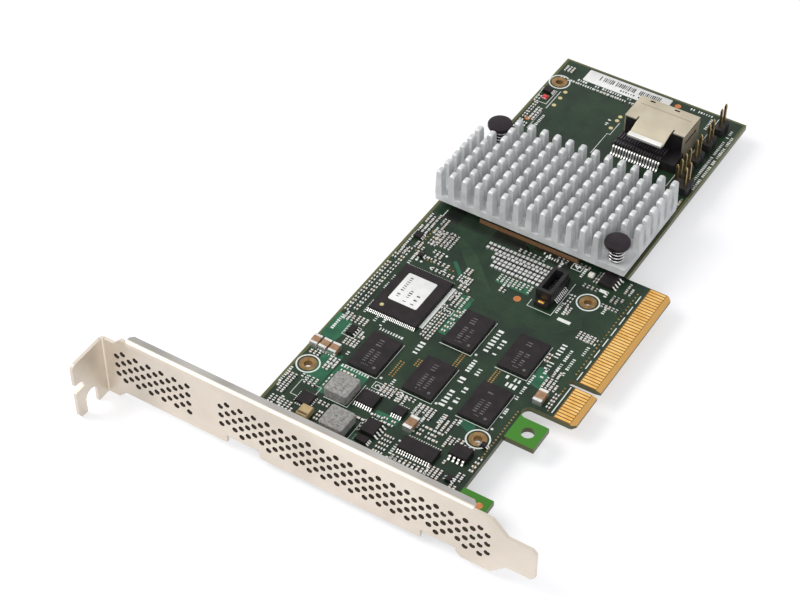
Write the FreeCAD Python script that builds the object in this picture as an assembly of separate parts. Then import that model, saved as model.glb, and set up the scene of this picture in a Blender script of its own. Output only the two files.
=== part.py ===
import FreeCAD, Part
import math
import os

# Server storage adapter: a low-profile circuit board on a full-height perforated bracket.
# Frame: x = 0 on the outer face of the bracket, +x along the board; y = 0 at the tips of the
# edge contacts, +y towards the top edge; z = 0 on the solder side of the board, +z up through
# the component side. Heights of components are given above the component side.
# All sizes are in millimetres.
V = FreeCAD.Vector

# Circuit board
board_length = 167.65       # outer face of the bracket to the far edge
board_height = 68.90        # tips of the edge contacts to the top edge
board_thickness = 1.57
board_start = 2.20          # outer face of the bracket to the near end of the board
board_rise = 12.90          # tips of the contacts to the lower edge beside them
tip_corner = 0.90           # corner cut at the ends of each contact section

# Edge contacts
key_centre = 57.15          # outer face of the bracket to the middle of the key notch
key_width = 1.90
key_depth = 8.40
short_side = 12.15          # middle of the notch to the end of the short section
long_side = 39.15           # middle of the notch to the end of the long section
pad_pitch = 1.00
pad_width = 0.70
pad_thickness = 0.06
pad_end = 5.80              # tips to the inner end of the pads
short_pads = 11
long_pads = 38
key_to_pad = 1.50           # middle of the notch to the first pad on either side
bevel_length = 1.50
bevel_drop = 0.40

# Retention tab with its slot, and the small tab beside the bracket
slot_width = 3.70
slot_end = 13.35            # tips to the round end of the slot
tab_width = 7.70
tab_tip = 4.90              # tips of the contacts to the lower edge of both tabs
tab_hole_diameter = 3.40
tab_hole_height = 8.60      # tips of the contacts to the middle of the tab hole
end_tab_reach = 15.20       # outer face of the bracket to the far side of the small tab

# Holes for a battery carrier
carrier_holes = [(28.6, board_height - 3.7), (29.5, 17.6), (83.5, 17.2),
                 (board_length - 10.65, board_height - 3.1)]
carrier_hole_diameter = 2.40

# Bracket
sheet = 0.86
bend_inside = 0.40
bracket_width = 18.42
bracket_length = 120.02
component_room = 14.47      # component side of the board to the flange edge of the bracket
tongue_tip = -14.25         # lower end of the tongue below the contact tips
tongue_width = 10.19
tongue_shoulder = -2.90     # where the face starts to narrow towards the tongue
tongue_corner = 1.10
flange_depth = 2.90
flange_start = 2.30
flange_end = 98.00
flange_corner = 1.60
ear_depth = 11.43
ear_step = 2.25             # sideways shift of the ear against the face
ear_corner = 0.80
ear_neck = 101.60           # where the face has moved over to the width of the ear
screw_slot_width = 4.30
screw_slot_reach = 6.15     # face to the middle of the screw slot
screw_slot_depth = 6.20
finger_gap = 2.60           # open slot in the outer edge of the ear
finger_gap_depth = 3.40
foot_width = 8.20
foot_reach = 10.60
foot_corner = 1.60
foot_centres = [10.80, 64.60]
foot_screw_reach = 6.60     # face to the middle of the foot screws
relief_width = 0.60
relief_depth = 2.70         # lower edge of the face to the closed end of a relief cut
relief_corner = 1.30        # corner cut from the lower edge beside the first relief

# Perforation of the bracket face: a staggered field with a plain band across it
hole_diameter = 1.60
hole_sides = 8
hole_step_y = 1.905
hole_step_z = 1.524
hole_rows = 7
hole_first_row = 0.58       # component side of the board to the middle of the first row
hole_first_y = 70.45
main_field = range(0, 39)
upper_field = range(-16, -4)
hole_relief_gap = 1.60      # no hole nearer than this to a relief cut

# Bracket screws
screw_diameter = 2.90
screw_head_diameter = 5.40
screw_head_height = 1.70
screw_clearance = 0.10      # round the shank in the board
thread_clearance = 0.03     # round the shank in the tapped foot

# Processor package and heatsink
chip_x = 109.05
chip_y = 40.80
package_size = 29.00
package_thickness = 1.40
die_size = 12.00
die_thickness = 0.80
paste_thickness = 0.30
sink_base = 2.00
pin_columns = 8
pin_rows = 15
pin_pitch_x = 3.93
pin_pitch_y = 3.85
pin_length = 2.40
pin_root = 2.00
pin_tip = 1.30
pin_height = 7.90
cleared_columns = 2
cleared_rows = 2

# Push pins and their springs
push_x = 12.10              # middle of the heatsink to a push pin, along the board
push_y = 24.05              # middle of the heatsink to a push pin, across the board
push_shaft_diameter = 2.90
push_head_diameter = 6.80
push_head_height = 1.30
push_top = 10.90
push_clearance = 0.15
barb_length = 2.40
barb_diameter = 4.00
spring_wire = 0.50
spring_turns = 4
spring_steps = 8            # straight steps in one turn of the coil
spring_gap = 0.25

# Memory chips: lower left corners, all alike
memory_length = 12.50
memory_width = 8.20
memory_height = 1.10
memory_corners = [(33.4, 48.7), (33.4, 33.1), (33.4, 17.4), (52.1, 33.1), (52.1, 17.4)]

# Flash chip
flash_x = 52.20
flash_y = 48.90
flash_length = 18.40
flash_width = 14.00
flash_height = 1.10
flash_label_length = 10.60
flash_label_width = 8.40
label_thickness = 0.10
board_label_length = 5.20
board_label_width = 26.00
board_label_inset = 1.15    # far edge of the board to the label

# Storage connector
socket_x = board_length - 23.05
socket_y = 21.40
cage_length = 9.80
cage_width = 17.90
cage_height = 8.50
cage_wall = 0.40
step_length = 6.00          # low step of the body behind the cage
step_width = 18.60
step_height = 2.80
plug_width = 15.60
plug_height = 5.60
plug_depth = 9.00
tail_count = 18
tail_pitch = 0.80
tail_width = 0.36
tail_first = 25.40
tail_reach = 1.90
latch_width = 10.20
latch_drop = 1.00
latch_length = 5.40

# Cable socket for a battery module, with a low hold-down foot at each end
cable_socket_x = 77.00
cable_socket_y = 24.40
cable_socket_length = 9.60
cable_socket_width = 4.40
cable_socket_height = 4.40
cable_socket_wall = 1.00
cable_socket_depth = 3.20
cable_socket_foot = 1.60
cable_socket_foot_height = 1.40
cable_socket_chamfer = 0.40

# Pin headers
header_pitch = 2.54
header_height = 2.50
header_pin = 0.64
header_pin_length = 8.90
header_tail = 2.00          # pins below the solder side
status_header_x = board_length - 35.60
status_header_y = 13.95
jumper_first_x = board_length - 23.90
jumper_step = 7.62
jumper_count = 3

# Small parts standing on the board
chip_lift = 0.10            # leaded bodies above the board
inductor_height = 3.00
inductor_corner = 0.90
inductor_bevel = 0.30
tantalum_height = 1.90
ceramic_height = 1.70
network_length = 2.00
network_width = 0.90
network_height = 0.50
network_pitch = 1.20


def box(x, y, z, length, width, height):
    """Plain block from its lowest corner and its three sizes."""
    return Part.makeBox(length, width, height, V(x, y, z))


def on_board(x, y, length, width, height, lift=0.0):
    """Block standing on the component side."""
    return box(x, y, board_thickness + lift, length, width, height - lift)


def pin(x, y, z, diameter, height):
    """Upright cylinder standing at (x, y, z)."""
    return Part.makeCylinder(diameter / 2, height, V(x, y, z))


def prism(points, depth):
    """Closed outline of points, pushed along the vector depth."""
    return Part.Face(Part.makePolygon(points + [points[0]])).extrude(depth)


def quarter(centre, first, second, depth):
    """Quarter-round bend of the bracket sheet, from direction first to second, along depth."""
    outside = bend_inside + sheet

    def at(radius, angle):
        turn = math.radians(angle)
        return centre + first * (radius * math.cos(turn)) + second * (radius * math.sin(turn))

    def arc(radius, start, end):
        return Part.Arc(at(radius, start), at(radius, 45), at(radius, end)).toShape()

    edges = [arc(bend_inside, 0, 90),
             Part.makeLine(at(bend_inside, 90), at(outside, 90)),
             arc(outside, 90, 0),
             Part.makeLine(at(outside, 0), at(bend_inside, 0))]
    return Part.Face(Part.Wire(edges)).extrude(depth)


def save(name, *solids):
    """Write one node: a single solid, or a group of like solids."""
    shape = solids[0] if len(solids) == 1 else Part.makeCompound(list(solids))
    shape.exportStep("parts/" + name + ".step")


# --- circuit board ---------------------------------------------------------------------------

surface = board_thickness
short_end = key_centre - short_side
long_end = key_centre + long_side
tab_end = short_end - slot_width
tab_start = tab_end - tab_width
tab_middle = (tab_start + tab_end) / 2
push_places = [(chip_x - push_x, chip_y - push_y), (chip_x + push_x, chip_y + push_y)]
push_hole_diameter = push_shaft_diameter + 2 * push_clearance
board_screw_hole = screw_diameter + 2 * screw_clearance


def header_pin_places(x, y, columns, rows):
    """Middles of the pins of a header whose lowest corner is at (x, y)."""
    half = header_pitch / 2
    return [(x + half + c * header_pitch, y + half + r * header_pitch)
            for c in range(columns) for r in range(rows)]


jumper_y = status_header_y + header_pitch
jumper_starts = [status_header_x + 2 * header_pitch]
jumper_starts += [jumper_first_x + i * jumper_step for i in range(jumper_count)]
header_places = header_pin_places(status_header_x, status_header_y, 2, 2)
for start in jumper_starts:
    header_places += header_pin_places(start, jumper_y, 2, 1)


def contact_section(start, end):
    """One tongue of the board between its cut corners, tips at y = 0."""
    outline = [V(start, board_rise, 0), V(start, tip_corner, 0), V(start + tip_corner, 0, 0),
               V(end - tip_corner, 0, 0), V(end, tip_corner, 0), V(end, board_rise, 0)]
    return prism(outline, V(0, 0, board_thickness))


def bevel(face, side):
    """Wedge that bevels the contact tips on the component side (1) or the solder side (-1)."""
    start = short_end - 1
    deep = face - side * bevel_drop
    outline = [V(start, -1, face + side), V(start, -1, deep), V(start, 0, deep),
               V(start, bevel_length, face), V(start, bevel_length, face + side)]
    return prism(outline, V(long_end - short_end + 2, 0, 0))


def square_hole(x, y, width):
    """Plated hole of a header pin, as a square."""
    return box(x - width / 2, y - width / 2, 0, width, width, board_thickness)


def circuit_board():
    """Board with its tabs, contact sections, notches and holes."""
    body = box(board_start, board_rise, 0,
               board_length - board_start, board_height - board_rise, board_thickness)
    web = box(tab_start, tab_tip, 0, short_end - tab_start + 1, board_rise - tab_tip, board_thickness)
    small_tab = box(board_start, tab_tip, 0,
                    end_tab_reach - board_start, board_rise - tab_tip, board_thickness)
    body = body.multiFuse([web, small_tab, contact_section(short_end, long_end)])
    slot_round = slot_end - slot_width / 2
    key_round = key_depth - key_width / 2
    cuts = [box(tab_end, -1, 0, slot_width, slot_round + 1, board_thickness),
            pin(tab_end + slot_width / 2, slot_round, 0, slot_width, board_thickness),
            box(key_centre - key_width / 2, -1, 0, key_width, key_round + 1, board_thickness),
            pin(key_centre, key_round, 0, key_width, board_thickness),
            pin(tab_middle, tab_hole_height, 0, tab_hole_diameter, board_thickness),
            bevel(surface, 1),
            bevel(0, -1)]
    cuts += [pin(x, y, 0, carrier_hole_diameter, board_thickness) for x, y in carrier_holes]
    cuts += [pin(x, y, 0, push_hole_diameter, board_thickness) for x, y in push_places]
    cuts += [pin(foot_screw_reach, y, 0, board_screw_hole, board_thickness) for y in foot_centres]
    cuts += [square_hole(x, y, header_pin + 0.04) for x, y in header_places]
    return body.cut(Part.makeCompound(cuts)).removeSplitter()


def edge_contacts():
    """Gold pads of both contact sections, on both sides of the board."""
    middles = [key_centre - key_to_pad - pad_pitch * i for i in range(short_pads)]
    middles += [key_centre + key_to_pad + pad_pitch * i for i in range(long_pads)]
    length = pad_end - bevel_length
    return [box(x - pad_width / 2, bevel_length, level, pad_width, length, pad_thickness)
            for level in (surface, -pad_thickness) for x in middles]


# --- bracket ---------------------------------------------------------------------------------

bend_outside = bend_inside + sheet
face_top = surface + component_room
face_low = face_top - bracket_width
relief_top = face_low + relief_depth
ear_face = tongue_tip + bracket_length
ear_top = face_top - ear_step
ear_low = face_low - ear_step
foot_low = -sheet
relief_places = [y + s * (foot_width + relief_width) / 2 for y in foot_centres for s in (-1, 1)]


def face_outline():
    """Outline of the bracket face as (y, z): tongue, shoulders, neck and ear."""
    narrow = (bracket_width - tongue_width) / 2
    tongue_low = face_low + narrow
    tongue_high = face_top - narrow
    tongue_root = tongue_shoulder - narrow
    flank = tongue_tip + tongue_corner
    fold = ear_face - bend_outside
    neck = ear_neck - ear_step
    lower = [(tongue_tip, tongue_low + tongue_corner), (flank, tongue_low), (tongue_root, tongue_low),
             (tongue_shoulder, face_low), (neck, face_low), (ear_neck, ear_low), (fold, ear_low)]
    upper = [(fold, ear_top), (ear_neck, ear_top), (neck, face_top), (tongue_shoulder, face_top),
             (tongue_root, tongue_high), (flank, tongue_high), (tongue_tip, tongue_high - tongue_corner)]
    return lower + upper


def perforation():
    """Staggered holes of the face, left out beside the relief cuts of the feet."""
    holes = []
    turns = [2 * math.pi * (i + 0.5) / hole_sides for i in range(hole_sides)]
    radius = hole_diameter / 2 / math.cos(math.pi / hole_sides)
    for column in list(upper_field) + list(main_field):
        y = hole_first_y - column * hole_step_y
        for row in range(hole_rows):
            beside = row == 0 and min(abs(y - r) for r in relief_places) < hole_relief_gap
            if (column + row) % 2 == 0 or beside:
                continue
            z = surface + hole_first_row + row * hole_step_z
            rim = [V(0, y + radius * math.cos(t), z + radius * math.sin(t)) for t in turns]
            holes.append(prism(rim, V(sheet, 0, 0)))
    return holes


def fold_room():
    """What leaves the flat face where the flange and the feet are folded from it."""
    cuts = [box(0, flange_start, face_top - bend_outside, sheet, flange_end - flange_start, bend_outside)]
    for y in relief_places:
        cuts.append(box(0, y - relief_width / 2, face_low, sheet, relief_width, relief_depth))
    for y in foot_centres:
        cuts.append(box(0, y - foot_width / 2, face_low, sheet, foot_width,
                        foot_low + bend_outside - face_low))
    edge = relief_places[0] - relief_width / 2
    corner = [V(0, edge - relief_corner, face_low), V(0, edge, face_low), V(0, edge, face_low + relief_corner)]
    cuts.append(prism(corner, V(sheet, 0, 0)))
    return cuts


def round_ends(leg, reach, radius):
    """Leg of a fold with its two outer corners rounded."""
    ends = [e for e in leg.Edges
            if abs(e.BoundBox.XMin - reach) < 1e-6 and e.BoundBox.ZLength > sheet / 2]
    return leg.makeFillet(radius, ends)


def flange():
    """Stiffening lip folded back along the upper long edge."""
    length = flange_end - flange_start
    bend = quarter(V(bend_outside, flange_start, face_top - bend_outside),
                   V(-1, 0, 0), V(0, 0, 1), V(0, length, 0))
    lip = box(bend_outside, flange_start, face_top - sheet, flange_depth - bend_outside, length, sheet)
    return bend.fuse(round_ends(lip, flange_depth, min(flange_corner, flange_depth - bend_outside - 0.05)))


def foot(y):
    """Foot folded under the board, with the hole that takes a bracket screw."""
    start = y - foot_width / 2
    bend = quarter(V(bend_outside, start, foot_low + bend_outside),
                   V(-1, 0, 0), V(0, 0, -1), V(0, foot_width, 0))
    leg = box(bend_outside, start, foot_low, foot_reach - bend_outside, foot_width, sheet)
    hole = pin(foot_screw_reach, y, foot_low, screw_diameter + 2 * thread_clearance, sheet)
    return bend.fuse(round_ends(leg, foot_reach, foot_corner).cut(hole))


def ear_cuts():
    """Screw slot from the lower edge of the ear, and the finger gap in its outer edge."""
    under = ear_face - sheet
    slot_round = ear_low + screw_slot_depth - screw_slot_width / 2
    slot = box(-screw_slot_reach - screw_slot_width / 2, under, ear_low,
               screw_slot_width, sheet, slot_round - ear_low)
    middle = V(-screw_slot_reach, under, slot_round)
    rounding = Part.makeCylinder(screw_slot_width / 2, sheet, middle, V(0, 1, 0))
    low = (ear_top + ear_low) / 2
    high = low + finger_gap
    depth = finger_gap_depth - ear_depth
    outline = [(-ear_depth, low), (depth, low), (depth - 0.8, high - 0.4), (-ear_depth, high)]
    gap = prism([V(x, under, z) for x, z in outline], V(0, sheet, 0))
    return Part.makeCompound([slot, rounding, gap])


def ear():
    """Ear folded outwards at the top."""
    inner = -ear_depth + ear_corner
    outline = [(-bend_inside, ear_top), (inner, ear_top), (-ear_depth, ear_top - ear_corner),
               (-ear_depth, ear_low + 2 * ear_corner), (inner, ear_low + ear_corner / 2), (-bend_inside, ear_low)]
    plate = prism([V(x, ear_face - sheet, z) for x, z in outline], V(0, sheet, 0))
    bend = quarter(V(-bend_inside, ear_face - bend_outside, ear_low),
                   V(1, 0, 0), V(0, 1, 0), V(0, 0, ear_top - ear_low))
    return bend.fuse(plate.cut(ear_cuts()))


def bracket():
    """Face plate with its folds: flange, ear and the two feet."""
    plate = prism([V(0, y, z) for y, z in face_outline()], V(sheet, 0, 0))
    plate = plate.cut(Part.makeCompound(fold_room())).cut(Part.makeCompound(perforation()))
    return plate.multiFuse([flange(), ear()] + [foot(y) for y in foot_centres]).removeSplitter()


def bracket_screw(y):
    """Flat-topped pan-head screw through the board into a foot."""
    shank = pin(foot_screw_reach, y, foot_low, screw_diameter, surface + sheet)
    head = pin(foot_screw_reach, y, surface, screw_head_diameter, screw_head_height)
    return shank.fuse(head)


# --- processor, heatsink and push pins -------------------------------------------------------

die_level = surface + package_thickness
paste_level = die_level + die_thickness
sink_level = paste_level + paste_thickness
pin_level = sink_level + sink_base
sink_length = (pin_columns - 1) * pin_pitch_x + pin_length
sink_width = (pin_rows - 1) * pin_pitch_y + pin_root
sink_x = chip_x - sink_length / 2
sink_y = chip_y - sink_width / 2


def square_on_chip(size, level, height):
    """Square plate over the middle of the processor."""
    return box(chip_x - size / 2, chip_y - size / 2, level, size, size, height)


def heatsink_pin(x, y):
    """Pin tapered across the rows, from the middle of its root edge."""
    half_root = pin_root / 2
    half_tip = pin_tip / 2
    crest = pin_level + pin_height
    profile = [V(x, y - half_root, pin_level), V(x, y - half_tip, crest),
               V(x, y + half_tip, crest), V(x, y + half_root, pin_level)]
    return prism(profile, V(pin_length, 0, 0))


def cleared(column, row):
    """True in the two opposite corners that hold the push pins."""
    low = column < cleared_columns and row < cleared_rows
    high = column >= pin_columns - cleared_columns and row >= pin_rows - cleared_rows
    return low or high


def heatsink():
    """Base plate with its field of pins and the two holes for the push pins."""
    pins = []
    for column in range(pin_columns):
        for row in range(pin_rows):
            if not cleared(column, row):
                x = sink_x + column * pin_pitch_x
                y = sink_y + pin_root / 2 + row * pin_pitch_y
                pins.append(heatsink_pin(x, y))
    base = box(sink_x, sink_y, sink_level, sink_length, sink_width, sink_base)
    holes = [pin(x, y, sink_level, push_hole_diameter, sink_base) for x, y in push_places]
    return base.multiFuse(pins).cut(Part.makeCompound(holes))


def push_pin(x, y):
    """Plastic push pin: flat head, shaft and a barbed end under the board."""
    radius = push_shaft_diameter / 2
    head = push_head_diameter / 2
    top = surface + push_top
    under_head = top - push_head_height
    profile = [(0, -barb_length), (radius * 0.7, -barb_length), (barb_diameter / 2, 0), (radius, 0),
               (radius, under_head), (head, under_head), (head, top - 0.4), (head - 0.6, top), (0, top)]
    wire = Part.makePolygon([V(x + r, y, z) for r, z in profile + [profile[0]]])
    return Part.Face(wire).revolve(V(x, y, 0), V(0, 0, 1), 360)


def push_spring(x, y):
    """Coil spring between the heatsink base and the head of its push pin."""
    room = surface + push_top - push_head_height - pin_level
    radius = push_shaft_diameter / 2 + spring_gap + spring_wire / 2
    steps = spring_turns * spring_steps
    rise = (room - spring_wire) / steps
    turn = 2 * math.pi / spring_steps
    spine = [V(x + radius * math.cos(i * turn), y + radius * math.sin(i * turn),
               pin_level + spring_wire / 2 + i * rise) for i in range(steps + 1)]
    along = (spine[1] - spine[0]).normalize()
    out = V(math.cos(turn / 2), math.sin(turn / 2), 0)
    over = along.cross(out).normalize()
    half = spring_wire / 2 / math.sqrt(2)
    section = [spine[0] + out * (a * half) + over * (b * half)
               for a, b in ((-1, -1), (1, -1), (1, 1), (-1, 1))]
    wire = Part.makePolygon(section + [section[0]])
    return Part.makePolygon(spine).makePipeShell([wire], True, False, 1)


# --- storage connector -----------------------------------------------------------------------

step_x = socket_x - step_length
step_y = socket_y + (cage_width - step_width) / 2
cage_end = socket_x + cage_length


def socket_body():
    """Moulded body: a low step with contact slots, and the walls round the plug cavity."""
    step = on_board(step_x, step_y, step_length, step_width, step_height)
    inside = on_board(socket_x, socket_y + cage_wall, cage_length - cage_wall,
                      cage_width - 2 * cage_wall, cage_height - cage_wall)
    mouth = on_board(cage_end - plug_depth, socket_y + (cage_width - plug_width) / 2,
                     plug_depth, plug_width, 1.2 + plug_height, 1.2)
    slots = [box(step_x + 2.2, tail_first + (i - 0.25) * tail_pitch, surface + step_height - 0.8,
                 3.0, tail_pitch / 2, 0.8) for i in range(tail_count)]
    span = (tail_count - 1) * tail_pitch
    pocket = on_board(step_x, tail_first - 0.5, 0.6, span + 1.0, step_height - 0.7)
    return step.fuse(inside).cut(Part.makeCompound([mouth, pocket] + slots))


def socket_cage():
    """Folded metal cage over the body, with the latch spring reaching back over the step."""
    outer = on_board(socket_x, socket_y, cage_length, cage_width, cage_height)
    inner = on_board(socket_x, socket_y + cage_wall, cage_length, cage_width - 2 * cage_wall,
                     cage_height - cage_wall)
    low = socket_y + (cage_width - latch_width) / 2
    tip = socket_x - latch_length
    top = surface + cage_height
    lip = top - latch_drop - 0.9
    profile = [V(socket_x, low, top), V(tip, low, top - latch_drop), V(tip - 0.9, low, lip),
               V(tip - 0.9, low, lip - cage_wall), V(tip, low, top - latch_drop - cage_wall),
               V(socket_x, low, top - cage_wall)]
    return outer.cut(inner).fuse(prism(profile, V(0, latch_width, 0)))


def socket_tail(i):
    """Contact tail that leaves the body and slopes down to the board."""
    y = tail_first + i * tail_pitch - tail_width / 2
    end = step_x - tail_reach
    profile = [V(step_x + 0.6, y, surface + 1.7), V(end, y, surface + 0.3),
               V(end, y, surface), V(step_x + 0.6, y, surface + 1.4)]
    return prism(profile, V(0, tail_width, 0))


# --- cable socket and pin headers ------------------------------------------------------------

def cable_socket():
    """Moulded socket open on top, its outline chamfered, on a low foot at each end."""
    low = cable_socket_y
    high = cable_socket_y + cable_socket_width
    near = cable_socket_x
    far = cable_socket_x + cable_socket_length
    cut = cable_socket_chamfer
    outline = [V(near + cut, low, surface), V(far - cut, low, surface), V(far, low + cut, surface),
               V(far, high, surface), V(near, high, surface), V(near, low + cut, surface)]
    body = prism(outline, V(0, 0, cable_socket_height))
    feet = on_board(near - cable_socket_foot, low + cut, cable_socket_length + 2 * cable_socket_foot,
                    cable_socket_width - 2 * cut, cable_socket_foot_height)
    wall = cable_socket_wall
    recess = on_board(near + wall, low + wall, cable_socket_length - 2 * wall, cable_socket_width - 2 * wall,
                      cable_socket_height, cable_socket_height - cable_socket_depth)
    return body.fuse(feet).cut(recess)


def header_block(x, y, columns, rows):
    """Moulded base of a pin header, with a square hole round each pin."""
    block = on_board(x, y, columns * header_pitch, rows * header_pitch, header_height)
    holes = [on_board(px - header_pin / 2, py - header_pin / 2, header_pin, header_pin, header_height)
             for px, py in header_pin_places(x, y, columns, rows)]
    return block.cut(Part.makeCompound(holes))


def header_post(x, y):
    """Square gold pin standing through the board and its base."""
    half = header_pin / 2
    return box(x - half, y - half, -header_tail, header_pin, header_pin,
               header_tail + surface + header_pin_length)


# --- small chips -----------------------------------------------------------------------------

def inductor(x, y, length, width):
    """Pressed power inductor: corners cut across, top edge bevelled."""
    body = on_board(x, y, length, width, inductor_height)
    upright = [e for e in body.Edges if e.BoundBox.ZLength > inductor_height / 2]
    body = body.makeChamfer(inductor_corner, upright)
    top = surface + inductor_height
    rim = [e for e in body.Edges if e.BoundBox.ZMin > top - 1e-6]
    return body.makeChamfer(inductor_bevel, rim)


def networks(x, y, count):
    """Column of resistor networks, one above the other."""
    return [on_board(x, y + i * network_pitch, network_length, network_width, network_height)
            for i in range(count)]


os.makedirs("parts", exist_ok=True)

save("circuit_board", circuit_board())
save("edge_contacts", *edge_contacts())
save("bracket", bracket())
save("bracket_screws", *[bracket_screw(y) for y in foot_centres])
save("processor_package", square_on_chip(package_size, surface, package_thickness))
save("processor_die", square_on_chip(die_size, die_level, die_thickness))
save("thermal_paste", square_on_chip(die_size, paste_level, paste_thickness))
save("heatsink", heatsink())
for index, (x, y) in enumerate(push_places):
    save("push_pin_%d" % (index + 1), push_pin(x, y))
    save("push_pin_spring_%d" % (index + 1), push_spring(x, y))
for index, (x, y) in enumerate(memory_corners):
    save("memory_chip_%d" % (index + 1), on_board(x, y, memory_length, memory_width, memory_height))
save("flash_chip", on_board(flash_x, flash_y, flash_length, flash_width, flash_height, chip_lift))
save("flash_chip_label", on_board(flash_x + 5.0, flash_y + 3.0, flash_label_length, flash_label_width,
                                  flash_height + label_thickness, flash_height))
save("board_label", on_board(board_length - board_label_inset - board_label_length, 34.8,
                             board_label_length, board_label_width, label_thickness))

save("socket_body", socket_body())
save("socket_cage", socket_cage())
save("socket_tails", *[socket_tail(i) for i in range(tail_count)])
save("cable_socket", cable_socket())
save("status_header", header_block(status_header_x, status_header_y, 2, 2))
save("jumper_headers", *[header_block(x, jumper_y, 2, 1) for x in jumper_starts])
save("header_pins", *[header_post(x, y) for x, y in header_places])

save("power_inductor_1", inductor(21.7, 49.6, 6.9, 6.6))
save("power_inductor_2", inductor(12.1, 44.7, 6.7, 6.7))
save("tantalum_capacitor", on_board(12.4, 54.9, 3.6, 3.1, tantalum_height))
save("ceramic_capacitors", *[on_board(33.8, board_height - drop, 3.2, 2.2, ceramic_height)
                             for drop in (8.1, 5.4, 2.7)])
save("bulk_capacitors", on_board(46.3, 9.9, 4.2, 2.8, ceramic_height),
     on_board(22.5, 32.2, 4.3, 1.8, ceramic_height))
save("regulator_chip", on_board(16.4, 57.0, 4.0, 4.0, 0.9))
save("driver_chip", on_board(24.0, 43.6, 4.4, 5.1, 1.0, chip_lift))
save("monitor_chip", on_board(25.4, 36.0, 2.8, 3.3, 1.0, chip_lift))
save("serial_memory_1", on_board(16.3, 38.6, 4.7, 3.8, 1.5, chip_lift))
save("serial_memory_2", on_board(21.2, 16.0, 3.9, 4.9, 1.5, chip_lift))
save("serial_memory_3", on_board(90.3, 14.2, 4.9, 3.9, 1.5, chip_lift))
save("expander_chip", on_board(16.6, 22.6, 4.4, 9.7, 1.1, chip_lift))
save("status_led_1", on_board(91.5, 20.2, 2.0, 1.6, 0.8))
save("status_led_2", on_board(board_length - 19.75, board_height - 3.9, 1.7, 1.6, 0.8))
save("resistor_networks", *(networks(81.7, 31.0, 12) + networks(84.5, 31.0, 13) + networks(87.2, 30.0, 6)))
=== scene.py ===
import math
import random
import bmesh
import bpy
from mathutils import Matrix, Quaternion, Vector


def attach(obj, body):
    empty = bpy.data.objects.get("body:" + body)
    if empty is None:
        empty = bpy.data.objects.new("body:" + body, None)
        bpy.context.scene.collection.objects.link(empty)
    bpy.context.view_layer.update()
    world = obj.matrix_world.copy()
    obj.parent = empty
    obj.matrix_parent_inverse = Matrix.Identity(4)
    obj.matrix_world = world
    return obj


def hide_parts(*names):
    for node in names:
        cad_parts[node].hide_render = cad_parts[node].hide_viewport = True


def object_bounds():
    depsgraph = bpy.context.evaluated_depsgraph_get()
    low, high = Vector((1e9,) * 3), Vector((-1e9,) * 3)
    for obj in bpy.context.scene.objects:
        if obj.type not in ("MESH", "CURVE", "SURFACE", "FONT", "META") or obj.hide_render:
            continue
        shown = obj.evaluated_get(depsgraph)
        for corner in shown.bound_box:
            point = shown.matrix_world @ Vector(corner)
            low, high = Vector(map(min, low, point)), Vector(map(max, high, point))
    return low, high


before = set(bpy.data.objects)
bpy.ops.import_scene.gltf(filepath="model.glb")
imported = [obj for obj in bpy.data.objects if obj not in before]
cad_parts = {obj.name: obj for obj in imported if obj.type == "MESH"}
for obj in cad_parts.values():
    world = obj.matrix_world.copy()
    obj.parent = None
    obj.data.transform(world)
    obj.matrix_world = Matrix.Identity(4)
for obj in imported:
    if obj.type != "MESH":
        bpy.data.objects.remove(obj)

card_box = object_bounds()
scene = bpy.context.scene
scene.view_settings.view_transform = "Standard"


# The table the card lies on, a sheet of white paper: matt, seamless and wide enough to have no
# edge. It is lit evenly enough to look white, and keeps the card's soft shadow.
def node(tree, kind, inputs=None, **settings):
    """One node of a material or a geometry tree, with its sockets filled or linked."""
    made = tree.nodes.new(kind)
    for key, value in settings.items():
        setattr(made, key, value)
    for key, value in (inputs or {}).items():
        if isinstance(value, bpy.types.NodeSocket):
            tree.links.new(value, made.inputs[key])
        else:
            made.inputs[key].default_value = value
    return made


def seen_directly(tree):
    """1 for a ray from the eye, a mirror or a glass, and 0 for a ray that only carries light."""
    path = node(tree, "ShaderNodeLightPath")
    seen = path.outputs["Is Camera Ray"]
    for kind in ("Is Glossy Ray", "Is Transmission Ray"):
        seen = node(tree, "ShaderNodeMath", {0: seen, 1: path.outputs[kind]}, operation="MAXIMUM").outputs[0]
    return seen


paper = bpy.data.materials.new("white_paper")
paper.use_nodes = True
tree = paper.node_tree
tree.nodes.clear()
fibres = node(tree, "ShaderNodeTexNoise", {
    "Vector": node(tree, "ShaderNodeTexCoord").outputs["Object"], "Scale": 900.0, "Detail": 3.0})
relief = node(tree, "ShaderNodeBump", {
    "Strength": 0.05, "Distance": 0.0001, "Height": fibres.outputs["Fac"]})
matt = node(tree, "ShaderNodeBsdfDiffuse", {"Color": (0.54, 0.54, 0.56, 1.0), "Normal": relief.outputs[0]})
lift = node(tree, "ShaderNodeEmission", {"Color": (1.0, 1.0, 1.0, 1.0), "Strength": 0.52})
both = node(tree, "ShaderNodeAddShader", {0: matt.outputs[0], 1: lift.outputs[0]})
choice = node(tree, "ShaderNodeMixShader", {
    "Fac": seen_directly(tree), 1: matt.outputs[0], 2: both.outputs[0]})
node(tree, "ShaderNodeOutputMaterial", {"Surface": choice.outputs[0]})
table = bpy.data.meshes.new("table_top")
table_level = card_box[0][2] - 0.0001
corners = [(3.0 * i, 3.0 * j, table_level) for i, j in ((-1, -1), (1, -1), (1, 1), (-1, 1))]
table.from_pydata(corners, [], [(0, 1, 2, 3)])
table.materials.append(paper)
table_top = bpy.data.objects.new("table_top", table)
scene.collection.objects.link(table_top)

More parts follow.
